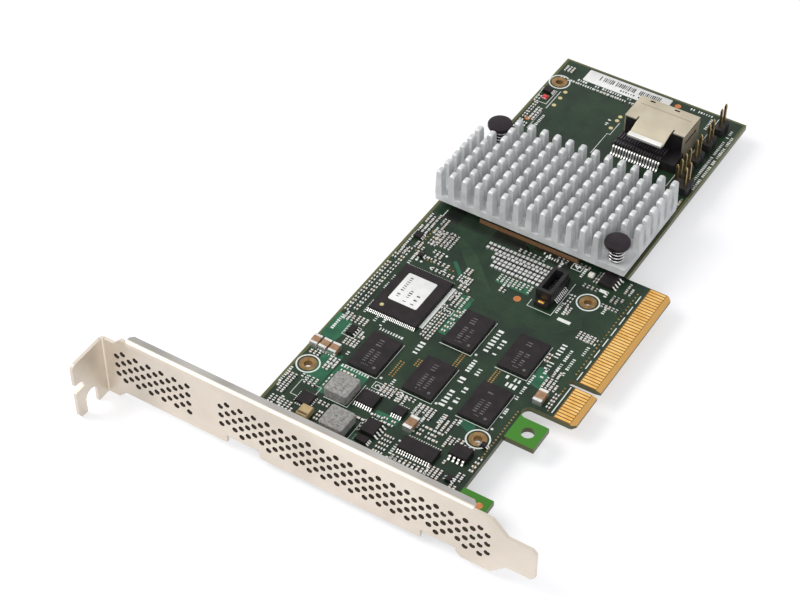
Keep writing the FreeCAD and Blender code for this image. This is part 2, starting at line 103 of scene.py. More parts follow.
# The light is a white room with one wide soft lamp high up behind the left hand, and a
# weaker one opposite, so that edges and bends catch a highlight and nothing is burnt out.
room = bpy.data.worlds.new("white_room")
room.use_nodes = True
scene.world = room
tree = room.node_tree
tree.nodes.clear()
dome = node(tree, "ShaderNodeBackground", {"Color": (0.97, 0.98, 1.0, 1.0), "Strength": 0.55})
backdrop = node(tree, "ShaderNodeBackground", {"Color": (1.0, 1.0, 1.0, 1.0), "Strength": 1.0})
choice = node(tree, "ShaderNodeMixShader", {
    "Fac": seen_directly(tree), 1: dome.outputs[0], 2: backdrop.outputs[0]})
node(tree, "ShaderNodeOutputWorld", {"Surface": choice.outputs[0]})


def softbox(name, place, aim, size, power, colour):
    """A square lamp at a place, turned to shine at a point."""
    lamp = bpy.data.lights.new(name, "AREA")
    lamp.size = size
    lamp.energy = power
    lamp.color = colour
    held = bpy.data.objects.new(name, lamp)
    held.location = Vector(place)
    held.rotation_mode = "QUATERNION"
    held.rotation_quaternion = (Vector(aim) - Vector(place)).to_track_quat("-Z", "Y")
    scene.collection.objects.link(held)


middle = (0.08, 0.04, 0.0)
softbox("key_lamp", (-0.25, 0.75, 0.85), middle, 0.7, 9.0, (1.0, 0.98, 0.95))
softbox("fill_lamp", (-0.75, -0.45, 0.55), middle, 0.6, 3.5, (0.96, 0.98, 1.0))

# The camera stands off the bracket end, above the contacts' side, and looks down along the
# board, so the card runs from the lower left to the upper right.
eye = bpy.data.objects.new("camera", bpy.data.cameras.new("camera"))
eye.data.sensor_width = 36.0
eye.data.lens = 91.528
eye.data.clip_start = 0.02
eye.rotation_mode = "QUATERNION"
eye.rotation_quaternion = Quaternion((0.80800387, 0.33473881, -0.18615692, -0.44768882))
eye.location = (-0.24870111, -0.13405055, 0.36377111)
scene.collection.objects.link(eye)
scene.camera = eye


# The printed circuit board: woven glass and resin under a dark green varnish, bare and tan at
# its sawn edges and in the window round the contacts. The frame's own board keeps its shape.
def spread(tree, value, low, high):
    """The middle of a texture's values spread between two numbers."""
    return node(tree, "ShaderNodeMapRange", {
        "Value": value, "From Min": 0.35, "From Max": 0.65, "To Min": low, "To Max": high}).outputs["Result"]


def blended(tree, factor, first, second):
    """A colour between two others. Each is a socket, or a red, green and blue."""
    inputs = {"Factor": factor}
    for key, colour in ((6, first), (7, second)):
        inputs[key] = colour if isinstance(colour, bpy.types.NodeSocket) else (*colour, 1.0)
    return node(tree, "ShaderNodeMix", inputs, data_type="RGBA").outputs[2]


def sums(tree, operation, first, second=0.0):
    """One step of arithmetic on values."""
    return node(tree, "ShaderNodeMath", {0: first, 1: second}, operation=operation).outputs[0]


def facing_across(tree, axis):
    """1 on faces that look across an axis of the card, and 0 on those that look along it."""
    normal = node(tree, "ShaderNodeNewGeometry").outputs["True Normal"]
    part = node(tree, "ShaderNodeSeparateXYZ", {0: normal}).outputs[axis]
    return sums(tree, "LESS_THAN", sums(tree, "ABSOLUTE", part), 0.5)


def finish(name, dark, light, grain, rough, relief, metallic=0.0, specular=0.5):
    """A finish that wanders between two shades, with its own play of gloss and fine relief."""
    made = bpy.data.materials.new(name)
    made.use_nodes = True
    tree = made.node_tree
    shader = tree.nodes["Principled BSDF"]
    shader.inputs["Metallic"].default_value = metallic
    shader.inputs["Specular IOR Level"].default_value = specular
    place = node(tree, "ShaderNodeTexCoord").outputs["Object"]
    clouds, wear, fine = (
        node(tree, "ShaderNodeTexNoise", {"Vector": place, "Scale": scale, "Detail": detail}).outputs["Fac"]
        for scale, detail in ((grain, 5.0), (grain * 0.37, 3.0), (relief[0], 2.0)))
    bump = node(tree, "ShaderNodeBump", {"Strength": relief[1], "Distance": 0.00005, "Height": fine})
    tree.links.new(blended(tree, spread(tree, clouds, 0.0, 1.0), dark, light), shader.inputs["Base Color"])
    tree.links.new(spread(tree, wear, *rough), shader.inputs["Roughness"])
    tree.links.new(bump.outputs[0], shader.inputs["Normal"])
    return made


def tinted(finish, factor, colour):
    """Lays another colour into a finish where the factor says."""
    tree = finish.node_tree
    base = tree.nodes["Principled BSDF"].inputs["Base Color"]
    tree.links.new(blended(tree, factor, base.links[0].from_socket, colour), base)


def wear_finish(node_name, finish):
    """Gives a frame node its finish."""
    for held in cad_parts[node_name].material_slots:
        held.material = finish


varnish = finish("green_varnish", (0.007, 0.020, 0.010), (0.015, 0.038, 0.017), 160.0, (0.26, 0.40),
                 (2600.0, 0.25), specular=0.28)
tree = varnish.node_tree
place = node(tree, "ShaderNodeTexCoord").outputs["Object"]
axes = node(tree, "ShaderNodeSeparateXYZ", {0: place}).outputs


def below_line(axis, limit):
    """1 where the board lies below a line across an axis, in metres."""
    return sums(tree, "LESS_THAN", axes[axis], limit)


def past_line(axis, limit):
    """1 where the board lies past a line across an axis, in metres."""
    return sums(tree, "GREATER_THAN", axes[axis], limit)


weave = node(tree, "ShaderNodeTexWave", {"Vector": place, "Scale": 700.0, "Distortion": 3.0, "Detail": 2.0})
layers = node(tree, "ShaderNodeTexWave", {"Vector": place, "Scale": 1300.0, "Distortion": 1.2},
              bands_direction="Z")
resin = blended(tree, weave.outputs["Fac"], (0.52, 0.27, 0.070), (0.66, 0.38, 0.11))
between_pads = blended(tree, past_line("Y", 0.0014), resin, (0.16, 0.085, 0.022))
sawn = blended(tree, layers.outputs["Fac"], (0.060, 0.070, 0.030), (0.13, 0.125, 0.055))
both_tabs = sums(tree, "MULTIPLY", below_line("Y", 0.0129), below_line("X", 0.0428))
lower_margin = sums(tree, "MULTIPLY", past_line("X", 0.0964), below_line("Y", 0.0136))
far_margins = sums(tree, "MAXIMUM", past_line("X", 0.1670), past_line("Y", 0.0681))
window = sums(tree, "MULTIPLY", below_line("Y", 0.0061), past_line("X", 0.0440))
tinted(varnish, both_tabs, (0.048, 0.205, 0.018))
tinted(varnish, sums(tree, "MAXIMUM", far_margins, lower_margin), (0.105, 0.110, 0.040))
tinted(varnish, window, between_pads)
tinted(varnish, facing_across(tree, "Z"), sawn)
wear_finish("circuit_board", varnish)


# The edge contacts: copper fingers plated with nickel and a thin hard gold, wiped by the slot
# each time the card goes in, so they carry faint lengthwise streaks.
def stretched_noise(tree, scale, detail):
    """Noise drawn out along an axis, as wiping or rolling leaves it."""
    place = node(tree, "ShaderNodeTexCoord").outputs["Object"]
    drawn = node(tree, "ShaderNodeMapping", {"Vector": place, "Scale": scale}).outputs[0]
    return node(tree, "ShaderNodeTexNoise", {"Vector": drawn, "Scale": 1.0, "Detail": detail}).outputs["Fac"]


gold = finish("hard_gold", (0.86, 0.47, 0.12), (0.97, 0.62, 0.22), 420.0, (0.22, 0.34), (1500.0, 0.12),
              metallic=1.0)
tree = gold.node_tree
streaks = stretched_noise(tree, (6000.0, 260.0, 600.0), 3.0)
tree.links.new(spread(tree, streaks, 0.18, 0.40), tree.nodes["Principled BSDF"].inputs["Roughness"])
wear_finish("edge_contacts", gold)


# The bracket: one sheet of steel, punched, folded and plated with a warm satin nickel. The
# round perforations are staggered, and the lip, the two feet and the ear are bent from it.
def new_tree(name, sizes):
    """An empty geometry tree with an input named for each size. Returns it and its input sockets."""
    tree = bpy.data.node_groups.new(name, "GeometryNodeTree")
    for way in ("INPUT", "OUTPUT"):
        tree.interface.new_socket(name="Geometry", in_out=way, socket_type="NodeSocketGeometry")
    kinds = {bool: "NodeSocketBool", int: "NodeSocketInt", float: "NodeSocketFloat"}
    for label, value in sizes.items():
        made = tree.interface.new_socket(name=label, in_out="INPUT", socket_type=kinds[type(value)])
        made.default_value = value
    return tree, {socket.name: socket for socket in tree.nodes.new("NodeGroupInput").outputs}


def joined(tree, *parts):
    """Several geometries as one."""
    join = node(tree, "GeometryNodeJoinGeometry")
    for part in parts:
        tree.links.new(part, join.inputs[0])
    return join.outputs[0]


def copies(tree, points, shape, inputs=None):
    """A copy of a shape on each point."""
    sockets = {"Points": points, "Instance": shape, **(inputs or {})}
    return node(tree, "GeometryNodeInstanceOnPoints", sockets).outputs[0]


def here(tree):
    """The three coordinates of each point."""
    position = node(tree, "GeometryNodeInputPosition").outputs[0]
    return node(tree, "ShaderNodeSeparateXYZ", {0: position}).outputs


def point(tree, x=0.0, y=0.0, z=0.0):
    """A point, or a size, from its three parts."""
    return node(tree, "ShaderNodeCombineXYZ", {0: x, 1: y, 2: z}).outputs[0]


def close_tree(tree, geometry, material):
    """The end of every tree: its copies made real and its finish set."""
    real = node(tree, "GeometryNodeRealizeInstances", {"Geometry": geometry})
    dressed = node(tree, "GeometryNodeSetMaterial", {"Geometry": real.outputs[0], "Material": material})
    node(tree, "NodeGroupOutput", {0: dressed.outputs[0]})


def scaffold(points=(), lines=()):
    """A bare mesh of points, and of lines between them, for a tree to work on."""
    made = bpy.data.meshes.new("scaffold")
    made.from_pydata(list(points), list(lines), [])
    return made


def grown(tree, sizes=None, base=None):
    """The plain mesh that a tree makes from its sizes and a scaffold."""
    held = bpy.data.objects.new("grown", base or scaffold())
    scene.collection.objects.link(held)
    grower = held.modifiers.new("grower", "NODES")
    grower.node_group = tree
    for item in tree.interface.items_tree:
        if item.item_type == "SOCKET" and item.in_out == "INPUT" and item.name in (sizes or {}):
            grower[item.identifier] = sizes[item.name]
    made = bpy.data.meshes.new_from_object(held.evaluated_get(bpy.context.evaluated_depsgraph_get()))
    bpy.data.objects.remove(held)
    return made


def piece(name, meshes, finish, replaced=(), angle=35.0):
    """One finished piece from meshes in millimetres: joined, eased, in place, and fixed to the card."""
    whole = bmesh.new()
    for mesh in meshes:
        whole.from_mesh(mesh)
    bmesh.ops.scale(whole, vec=(0.001, 0.001, 0.001), verts=whole.verts)
    made = bpy.data.meshes.new(name)
    whole.to_mesh(made)
    whole.free()
    made.materials.clear()
    made.materials.append(finish)
    made.shade_smooth()
    made.set_sharp_from_angle(angle=math.radians(angle))
    held = bpy.data.objects.new(name, made)
    scene.collection.objects.link(held)
    if replaced:
        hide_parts(*replaced)
    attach(held, "root")


nickel = finish("satin_nickel", (0.62, 0.555, 0.475), (0.74, 0.67, 0.58), 45.0, (0.30, 0.42), (700.0, 0.10),
                metallic=0.9)
tree = nickel.node_tree
rolling = stretched_noise(tree, (3000.0, 90.0, 3000.0), 4.0)
brushed = node(tree, "ShaderNodeBump", {"Strength": 0.10, "Distance": 0.00003, "Height": rolling})
tree.links.new(brushed.outputs[0], tree.nodes["Principled BSDF"].inputs["Normal"])
# Painted shade: the walls of the perforations, marked by the punch attribute and facing across the sheet, are
# darkened to a deep brown in place of the shadow inside the holes.
punch = node(tree, "ShaderNodeAttribute", attribute_name="punch").outputs["Fac"]
painted_hole_shade = sums(tree, "MULTIPLY", facing_across(tree, "X"), sums(tree, "GREATER_THAN", punch, 0.5))
tinted(nickel, painted_hole_shade, (0.055, 0.040, 0.030))

tree, given = new_tree("punched_sheet", {"Sheet": 0.86, "Hole": 0.8, "Sides": 16, "Corner": 0.15})
lines_here = node(tree, "GeometryNodeInputMeshVertexNeighbors").outputs[0]
lone = node(tree, "FunctionNodeCompare", {2: lines_here, 3: 0}, data_type="INT", operation="EQUAL")
outline = node(tree, "GeometryNodeMeshToCurve", {"Mesh": given["Geometry"]})
eased = node(tree, "GeometryNodeFilletCurve", {
    "Curve": outline.outputs[0], "Radius": given["Corner"], "Limit Radius": True, "Count": 3}, mode="POLY")
circle = node(tree, "GeometryNodeCurvePrimitiveCircle", {
    "Resolution": given["Sides"], "Radius": given["Hole"]})
punches = copies(tree, given["Geometry"], circle.outputs[0], {"Selection": lone.outputs[0]})
struck = node(tree, "GeometryNodeRealizeInstances", {"Geometry": punches})
blank = node(tree, "GeometryNodeFillCurve", {"Curve": joined(tree, eased.outputs[0], struck.outputs[0])},
             mode="NGONS")
thick = node(tree, "GeometryNodeExtrudeMesh", {
    "Mesh": blank.outputs[0], "Offset Scale": given["Sheet"], "Individual": False}, mode="FACES")
back = node(tree, "GeometryNodeFlipFaces", {"Mesh": blank.outputs[0]})
closed = node(tree, "GeometryNodeMergeByDistance", {
    "Geometry": joined(tree, thick.outputs[0], back.outputs[0]), "Distance": 0.001})
# Points on the hole walls are marked punch, so that the nickel can lay its painted hole shade there.
rims = node(tree, "GeometryNodeCurveToMesh", {"Curve": struck.outputs[0]})
spot = here(tree)
reach = node(tree, "GeometryNodeProximity", {0: rims.outputs[0]}, target_element="EDGES")
tree.links.new(point(tree, spot["X"], spot["Y"]), reach.inputs["Sample Position"])
near_rim = sums(tree, "MULTIPLY", sums(tree, "LESS_THAN", reach.outputs["Distance"], 0.02),
                reach.outputs["Is Valid"])
marked = node(tree, "GeometryNodeStoreNamedAttribute", {
    "Geometry": closed.outputs[0], "Name": "punch", "Value": near_rim}, data_type="FLOAT", domain="POINT")
close_tree(tree, marked.outputs[0], nickel)
sheet_tree = tree

lying = Matrix.Identity(4)
on_edge_x = Matrix(((0, 0, 1, 0), (1, 0, 0, 0), (0, 1, 0, 0), (0, 0, 0, 1)))
on_edge_y = Matrix(((0, 1, 0, 0), (0, 0, 1, 0), (1, 0, 0, 0), (0, 0, 0, 1)))


def punched(outline, thickness, holes=(), radius=0.8, corner=0.15, placed=lying, shift=(0, 0, 0)):
    """A flat blank with its outline, round holes and thickness, laid in place."""
    count = len(outline)
    edges = [(i, (i + 1) % count) for i in range(count)]
    base = scaffold([(u, v, 0.0) for u, v in [*outline, *holes]], edges)
    made = grown(sheet_tree, {"Sheet": thickness, "Hole": radius, "Corner": corner}, base)
    made.transform(Matrix.Translation(shift) @ placed)
    return made


def drawn_out(section, length, start, corner=0.0):
    """A sheet with a section in (x, z) that runs along y from a start."""
    return punched([(z, x) for x, z in section], length, corner=corner, placed=on_edge_y, shift=(0, start, 0))


sheet = 0.86
inside = 0.40
bend = inside + sheet
board = 1.57
bracket_width = 18.42
bracket_end = 105.77
face_top = board + 14.47
face_low = face_top - bracket_width
ear_step = 2.25
ear_top = face_top - ear_step
ear_low = face_low - ear_step
ear_reach = 11.43
lip_start, lip_end, lip_depth = 2.30, 98.0, 2.9
foot_middles = [10.80, 64.60]
foot_half, foot_tip, foot_reach = 4.1, 2.5, 10.6
relief_half, relief_low = 4.7, 0.32
screw_x, tapped_radius = 6.6, 1.48
hole_step, row_step = 1.905, 1.524
middle_hole, first_row = 70.45, board + 0.58


def quarter_bend(centre, first, second, steps=8):
    """Section of the sheet in a quarter-round bend about a centre, from one direction to another."""
    turns = [math.radians(90.0 * i / steps) for i in range(steps + 1)]
    path = [(inside, t) for t in turns] + [(bend, t) for t in reversed(turns)]
    return [tuple(c + r * (a * math.cos(t) + b * math.sin(t)) for c, a, b in zip(centre, first, second))
            for r, t in path]


face = [(-14.25, 2.835), (-13.15, 1.735), (-7.015, 1.735), (-2.90, face_low), (4.80, face_low),
        (6.10, face_low + 1.3)]
for foot in foot_middles:
    face += [(foot - relief_half, relief_low), (foot - foot_half, relief_low), (foot - foot_half, inside),
             (foot + foot_half, inside), (foot + foot_half, relief_low), (foot + relief_half, relief_low),
             (foot + relief_half, face_low)]
    if foot == foot_middles[0]:
        face.append((foot_middles[1] - relief_half, face_low))
face += [(99.35, face_low), (101.60, ear_low), (bracket_end - bend, ear_low), (bracket_end - bend, ear_top),
         (101.60, ear_top), (99.35, face_top), (lip_end, face_top), (lip_end, face_top - bend),
         (lip_start, face_top - bend), (lip_start, face_top), (-2.90, face_top), (-7.015, face_top - 4.115),
         (-13.15, face_top - 4.115), (-14.25, face_top - 5.215)]
air_holes = []
for column in [*range(-16, -4), *range(39)]:
    y = middle_hole - hole_step * column
    for row in range(7):
        beside_foot = row == 0 and min(abs(abs(y - foot) - 4.4) for foot in foot_middles) < 1.6
        if (column + row) % 2 and not beside_foot:
            air_holes.append((y, first_row + row_step * row))
parts = [punched(face, sheet, air_holes, placed=on_edge_x),
         drawn_out(quarter_bend((bend, face_top - bend), (-1, 0), (0, 1)), lip_end - lip_start, lip_start)]
for foot in foot_middles:
    curl = quarter_bend((bend, inside), (-1, 0), (0, -1))
    parts.append(drawn_out(curl, 2 * foot_half, foot - foot_half))
    leg = [(bend, foot - foot_half), (foot_reach - 1.6, foot - foot_half), (foot_reach, foot - foot_tip),
           (foot_reach, foot + foot_tip), (foot_reach - 1.6, foot + foot_half), (bend, foot + foot_half)]
    parts.append(punched(leg, sheet, [(screw_x, foot)], tapped_radius, 0.5, shift=(0, 0, -sheet)))
ear_curl = quarter_bend((-inside, bracket_end - bend), (1, 0), (0, 1))
parts.append(punched(ear_curl, bracket_width, corner=0.0, shift=(0, 0, ear_low)))
slot_radius = 2.15
slot_x, slot_z = -6.15, ear_low + 6.20 - slot_radius
slot_mouth = [(slot_x + slot_radius * math.cos(t), slot_z + slot_radius * math.sin(t))
              for t in (math.radians(180.0 - 15.0 * i) for i in range(13))]
gap = (ear_top + ear_low) / 2
ear = [(-inside, ear_low), (-inside, ear_top), (-10.63, ear_top), (-ear_reach, ear_top - 0.8),
       (-ear_reach, gap + 2.60), (-8.83, gap + 2.20), (-8.03, gap), (-ear_reach, gap),
       (-ear_reach, ear_low + 1.6), (-10.63, ear_low + 0.4), (-8.30, ear_low + 0.15), *slot_mouth,
       (-4.0, ear_low)]
parts.append(drawn_out(ear, sheet, bracket_end - sheet, 0.2))
piece("bracket_sheet", parts, nickel, ("bracket",))
lip_leg = [(bend, lip_start), (2.0, lip_start), (lip_depth, 3.2), (lip_depth, 97.1), (2.0, lip_end),
           (bend, lip_end)]
# Painted shade: the lip's flat leg gets a darker, greyer nickel than the face it is bent from, standing in
# for the dim reflection it takes from above.
lip_painted_shade = finish("lip_painted_shade", (0.35, 0.335, 0.315), (0.48, 0.46, 0.435), 60.0, (0.34, 0.46),
                    (900.0, 0.12), metallic=0.8)
piece("bracket_lip", [punched(lip_leg, sheet, shift=(0, 0, face_top - sheet))], lip_painted_shade)


# The two bracket screws: pan heads of zinc-plated steel with a cross recess, driven through
# the board into the tapped feet.
def plain(body):
    """The mesh of a body that was built face by face."""
    made = bpy.data.meshes.new("plain")
    body.to_mesh(made)
    body.free()
    return made


def turned(profile, at, sides=32, ring=False):
    """A round body from its (radius, height) profile, or a ring if the profile closes on itself."""
    body = bmesh.new()
    spots = [body.verts.new((r, 0.0, z)) for r, z in profile]
    edges = [body.edges.new(pair) for pair in zip(spots, spots[1:])]
    if ring:
        edges.append(body.edges.new((spots[-1], spots[0])))
    bmesh.ops.spin(body, geom=spots + edges, cent=(0, 0, 0), axis=(0, 0, 1), angle=2 * math.pi, steps=sides,
                   use_merge=True)
    bmesh.ops.remove_doubles(body, verts=body.verts, dist=0.0005)
    bmesh.ops.recalc_face_normals(body, faces=body.faces)
    bmesh.ops.translate(body, verts=body.verts, vec=(*at, 0.0))
    return plain(body)


def moulded(x, y, length, width, levels, cut=0.0, floor=board):
    """A closed body over a rectangle. Each level, from the bottom, is (inset, height above the floor)."""
    body = bmesh.new()
    rings = []
    for inset, height in levels:
        a, b, c, d = x + inset, y + inset, x + length - inset, y + width - inset
        spots = [(a, b), (c, b), (c, d), (a, d)]
        if cut:
            spots = [(a + cut, b), (c - cut, b), (c, b + cut), (c, d - cut), (c - cut, d), (a + cut, d),
                     (a, d - cut), (a, b + cut)]
        rings.append([body.verts.new((u, v, floor + height)) for u, v in spots])
    for lower, upper in zip(rings, rings[1:]):
        for i in range(len(lower)):
            j = (i + 1) % len(lower)
            body.faces.new((lower[i], lower[j], upper[j], upper[i]))
    body.faces.new(rings[0][::-1])
    body.faces.new(rings[-1])
    return plain(body)


def carved(mesh, cutter):
    """A mesh with a cutter's shape taken out of it."""
    held, tool = (bpy.data.objects.new("carved", shape) for shape in (mesh, cutter))
    scene.collection.objects.link(held)
    scene.collection.objects.link(tool)
    cut = held.modifiers.new("cut", "BOOLEAN")
    cut.operation = "DIFFERENCE"
    cut.object = tool
    made = bpy.data.meshes.new_from_object(held.evaluated_get(bpy.context.evaluated_depsgraph_get()))
    bpy.data.objects.remove(held)
    bpy.data.objects.remove(tool)
    return made


zinc = finish("zinc_plate", (0.46, 0.46, 0.47), (0.62, 0.61, 0.60), 900.0, (0.22, 0.38), (3000.0, 0.15),
              metallic=1.0)
heads = []
for foot in foot_middles:
    head = turned([(0, -0.85), (1.45, -0.85), (1.45, board), (2.70, board), (2.70, board + 0.75),
                   (2.45, board + 1.25), (1.80, board + 1.55), (0.9, board + 1.68), (0, board + 1.70)],
                  (screw_x, foot))
    for length, width in ((2.6, 0.55), (0.55, 2.6)):
        blade = moulded(screw_x - length / 2, foot - width / 2, length, width, [(0.2, 0.7), (0.0, 1.9)])
        head = carved(head, blade)
    heads.append(head)
piece("foot_screws", heads, zinc, ("bracket_screws",))

# The processor package: a laminate square with a bare silicon die on it and grey paste over
# the die. Only its layered brown edge shows under the heatsink.
laminate = finish("package_laminate", (0.012, 0.020, 0.012), (0.020, 0.034, 0.018), 900.0, (0.25, 0.4),
                  (4000.0, 0.2))
tree = laminate.node_tree
place = node(tree, "ShaderNodeTexCoord").outputs["Object"]
plies = node(tree, "ShaderNodeTexWave", {"Vector": place, "Scale": 900.0, "Distortion": 0.6},
             bands_direction="Z")
layered = blended(tree, plies.outputs["Fac"], (0.10, 0.045, 0.020), (0.30, 0.16, 0.075))
tinted(laminate, facing_across(tree, "Z"), layered)
silicon = finish("bare_silicon", (0.10, 0.10, 0.12), (0.15, 0.15, 0.17), 300.0, (0.08, 0.14), (500.0, 0.02),
                 metallic=0.6)
paste = finish("grey_paste", (0.30, 0.30, 0.31), (0.42, 0.42, 0.43), 700.0, (0.5, 0.7), (1500.0, 0.6))
wear_finish("processor_package", laminate)
wear_finish("processor_die", silicon)
wear_finish("thermal_paste", paste)


# The heatsink: one casting of aluminium left as it came from the die, with a field of
# blunt tapered pins. Two opposite corners are kept clear for the push pins that hold it down.
def laid(mesh, x, y, z, quarter_turns=0):
    """A mesh turned by quarter turns and moved to its place."""
    mesh.transform(Matrix.Translation((x, y, z)) @ Matrix.Rotation(quarter_turns * math.pi / 2, 4, "Z"))
    return mesh


casting = finish("cast_aluminium", (0.55, 0.56, 0.565), (0.69, 0.70, 0.705), 260.0, (0.42, 0.58),
                 (1100.0, 0.45), metallic=0.18)
columns, rows, pitch_x, pitch_y, pin_length, pin_root = 8, 15, 3.93, 3.85, 2.40, 2.00
tree, given = new_tree("pin_field", {
    "Columns": columns, "Rows": rows, "Pitch X": pitch_x, "Pitch Y": pitch_y, "Length": pin_length,
    "Root": pin_root, "Tip": 1.45, "Height": 7.90, "Crest": 0.36, "Cleared": 2})
block = node(tree, "GeometryNodeMeshCube", {"Size": (1.0, 1.0, 1.0), "Vertices X": 6, "Vertices Y": 7,
                                            "Vertices Z": 3})
spot = here(tree)
climb = sums(tree, "ADD", spot["Z"], 0.5)
breadth = node(tree, "ShaderNodeMapRange", {"Value": climb, "To Min": given["Root"], "To Max": given["Tip"]})
across, along = (sums(tree, "ABSOLUTE", sums(tree, "MULTIPLY", spot[axis], 2.0)) for axis in "YX")
dip = sums(tree, "ADD", sums(tree, "POWER", across, 4.0), sums(tree, "POWER", along, 9.0))
crest = sums(tree, "SUBTRACT", given["Height"], sums(tree, "MULTIPLY", dip, given["Crest"]))
shaped = point(tree, sums(tree, "MULTIPLY", spot["X"], given["Length"]),
               sums(tree, "MULTIPLY", spot["Y"], breadth.outputs[0]), sums(tree, "MULTIPLY", climb, crest))
one_pin = node(tree, "GeometryNodeSetPosition", {"Geometry": block.outputs["Mesh"], "Position": shaped})
long_way, cross_way = (
    sums(tree, "MULTIPLY", sums(tree, "SUBTRACT", given[count], 1.0), given[pitch])
    for count, pitch in (("Columns", "Pitch X"), ("Rows", "Pitch Y")))
field = node(tree, "GeometryNodeMeshGrid", {"Size X": long_way, "Size Y": cross_way,
                                            "Vertices X": given["Columns"], "Vertices Y": given["Rows"]})
spot = here(tree)
corner = sums(tree, "GREATER_THAN", sums(tree, "MULTIPLY", spot["X"], spot["Y"]), 0.0)
for axis, count, pitch in (("X", "Columns", "Pitch X"), ("Y", "Rows", "Pitch Y")):
    kept = sums(tree, "SUBTRACT", sums(tree, "MULTIPLY", given[count], 0.5), given["Cleared"])
    outer = sums(tree, "GREATER_THAN", sums(tree, "ABSOLUTE", spot[axis]),
                 sums(tree, "MULTIPLY", kept, given[pitch]))
    corner = sums(tree, "MULTIPLY", corner, outer)
elsewhere = node(tree, "FunctionNodeBooleanMath", {0: corner}, operation="NOT")
pins = copies(tree, field.outputs["Mesh"], one_pin.outputs[0], {"Selection": elsewhere.outputs[0]})
close_tree(tree, pins, casting)
sink_x, sink_y = 109.05, 40.80
sink_level = board + 2.50
plate_thickness = 2.0
push_x, push_y, push_hole = 12.10, 24.05, 1.60
push_places = [(sink_x - push_x, sink_y - push_y), (sink_x + push_x, sink_y + push_y)]
half_x = ((columns - 1) * pitch_x + pin_length) / 2
half_y = ((rows - 1) * pitch_y + pin_root) / 2
plate_edge = [(sink_x + i * half_x, sink_y + j * half_y) for i, j in ((-1, -1), (1, -1), (1, 1), (-1, 1))]
plate = punched(plate_edge, plate_thickness, push_places, push_hole, 0.3, shift=(0, 0, sink_level))
pins = laid(grown(tree), sink_x, sink_y, sink_level + plate_thickness)
piece("pin_heatsink", [plate, pins], casting, ("heatsink",), angle=32.0)

# The push pins: black nylon, turned down to a barb that snaps under the board. A coil spring
# under each flat head presses the heatsink onto the chip.
nylon = finish("black_nylon", (0.011, 0.007, 0.010), (0.020, 0.013, 0.018), 500.0, (0.34, 0.48),
               (1800.0, 0.25), specular=0.22)
spring_steel = finish("spring_steel", (0.55, 0.55, 0.56), (0.72, 0.72, 0.72), 900.0, (0.15, 0.28),
                      (3000.0, 0.1), metallic=1.0)
tree, given = new_tree("coil_spring", {"Turns": 4.2, "Radius": 1.95, "Height": 4.40, "Wire": 0.22})
helix = node(tree, "GeometryNodeCurveSpiral", {
    "Resolution": 20, "Rotations": given["Turns"], "Start Radius": given["Radius"],
    "End Radius": given["Radius"], "Height": given["Height"]})
round_wire = node(tree, "GeometryNodeCurvePrimitiveCircle", {"Resolution": 8, "Radius": given["Wire"]})
coil = node(tree, "GeometryNodeCurveToMesh", {
    "Curve": helix.outputs[0], "Profile Curve": round_wire.outputs[0], "Fill Caps": True})
close_tree(tree, coil.outputs[0], spring_steel)
head_height = 10.90
for index, (x, y) in enumerate(push_places, 1):
    top = board + head_height
    stem = turned([(0, top), (2.95, top), (3.25, top - 0.10), (3.40, top - 0.35), (3.40, top - 1.05),
                   (3.25, top - 1.30), (1.45, top - 1.30), (1.45, -0.05), (1.95, -0.15), (2.00, -0.5),
                   (1.15, -2.35), (0.9, -2.40), (0, -2.40)], (x, y), 40)
    slit = moulded(x - 0.30, y - 2.3, 0.60, 4.6, [(0.0, -3.0), (0.0, -0.2)], floor=0.0)
    piece("push_pin_body_%d" % index, [carved(stem, slit)], nylon, ("push_pin_%d" % index,))
    piece("coil_spring_%d" % index, [laid(grown(tree), x, y, sink_level + 2.35)], spring_steel,
          ("push_pin_spring_%d" % index,), angle=60.0)


# The chips: black epoxy moulded round each die, with drafted sides and a fine matt grain. The
# leads are tin-plated copper, bent down onto their pads.
epoxy = finish("black_epoxy", (0.010, 0.007, 0.008), (0.019, 0.014, 0.016), 350.0, (0.38, 0.52),
               (5200.0, 0.35), specular=0.22)
tin = finish("bright_tin", (0.66, 0.66, 0.64), (0.86, 0.85, 0.82), 1200.0, (0.22, 0.40), (2500.0, 0.3),
             metallic=0.85)
tree, given = new_tree("gull_wing_leads", {
    "Count": 8, "Pitch": 0.65, "Reach": 1.0, "Rise": 0.5, "Width": 0.24, "Thickness": 0.13})
lead_ends = {"Start": (-0.1, given["Rise"]), "Start Handle": (0.55, given["Rise"]),
             "End Handle": (0.25, given["Thickness"]),
             "End": (1.0, sums(tree, "MULTIPLY", given["Thickness"], 0.6))}
bent = node(tree, "GeometryNodeCurvePrimitiveBezierSegment", {
    "Resolution": 7, **{end: point(tree, sums(tree, "MULTIPLY", given["Reach"], share), 0.0, height)
                        for end, (share, height) in lead_ends.items()}})
level = node(tree, "GeometryNodeSetCurveNormal", {"Curve": bent.outputs[0]}, mode="Z_UP")
strip = node(tree, "GeometryNodeCurvePrimitiveQuadrilateral", {
    "Width": given["Width"], "Height": given["Thickness"]})
one_lead = node(tree, "GeometryNodeCurveToMesh", {
    "Curve": level.outputs[0], "Profile Curve": strip.outputs[0], "Fill Caps": True})
back = sums(tree, "MULTIPLY", sums(tree, "SUBTRACT", given["Count"], 1.0),
            sums(tree, "MULTIPLY", given["Pitch"], -0.5))
row = node(tree, "GeometryNodeMeshLine", {
    "Count": given["Count"], "Start Location": point(tree, 0.0, back),
    "Offset": point(tree, 0.0, given["Pitch"])})
close_tree(tree, copies(tree, row.outputs[0], one_lead.outputs[0]), tin)
lead_tree = tree


def lead_row(count, pitch, reach, rise, width, x, y, quarter_turns):
    """A row of leads reaching out from a place, turned by quarter turns from +x."""
    sizes = {"Count": count, "Pitch": pitch, "Reach": reach, "Rise": rise, "Width": width}
    return laid(grown(lead_tree, sizes), x, y, board, quarter_turns)


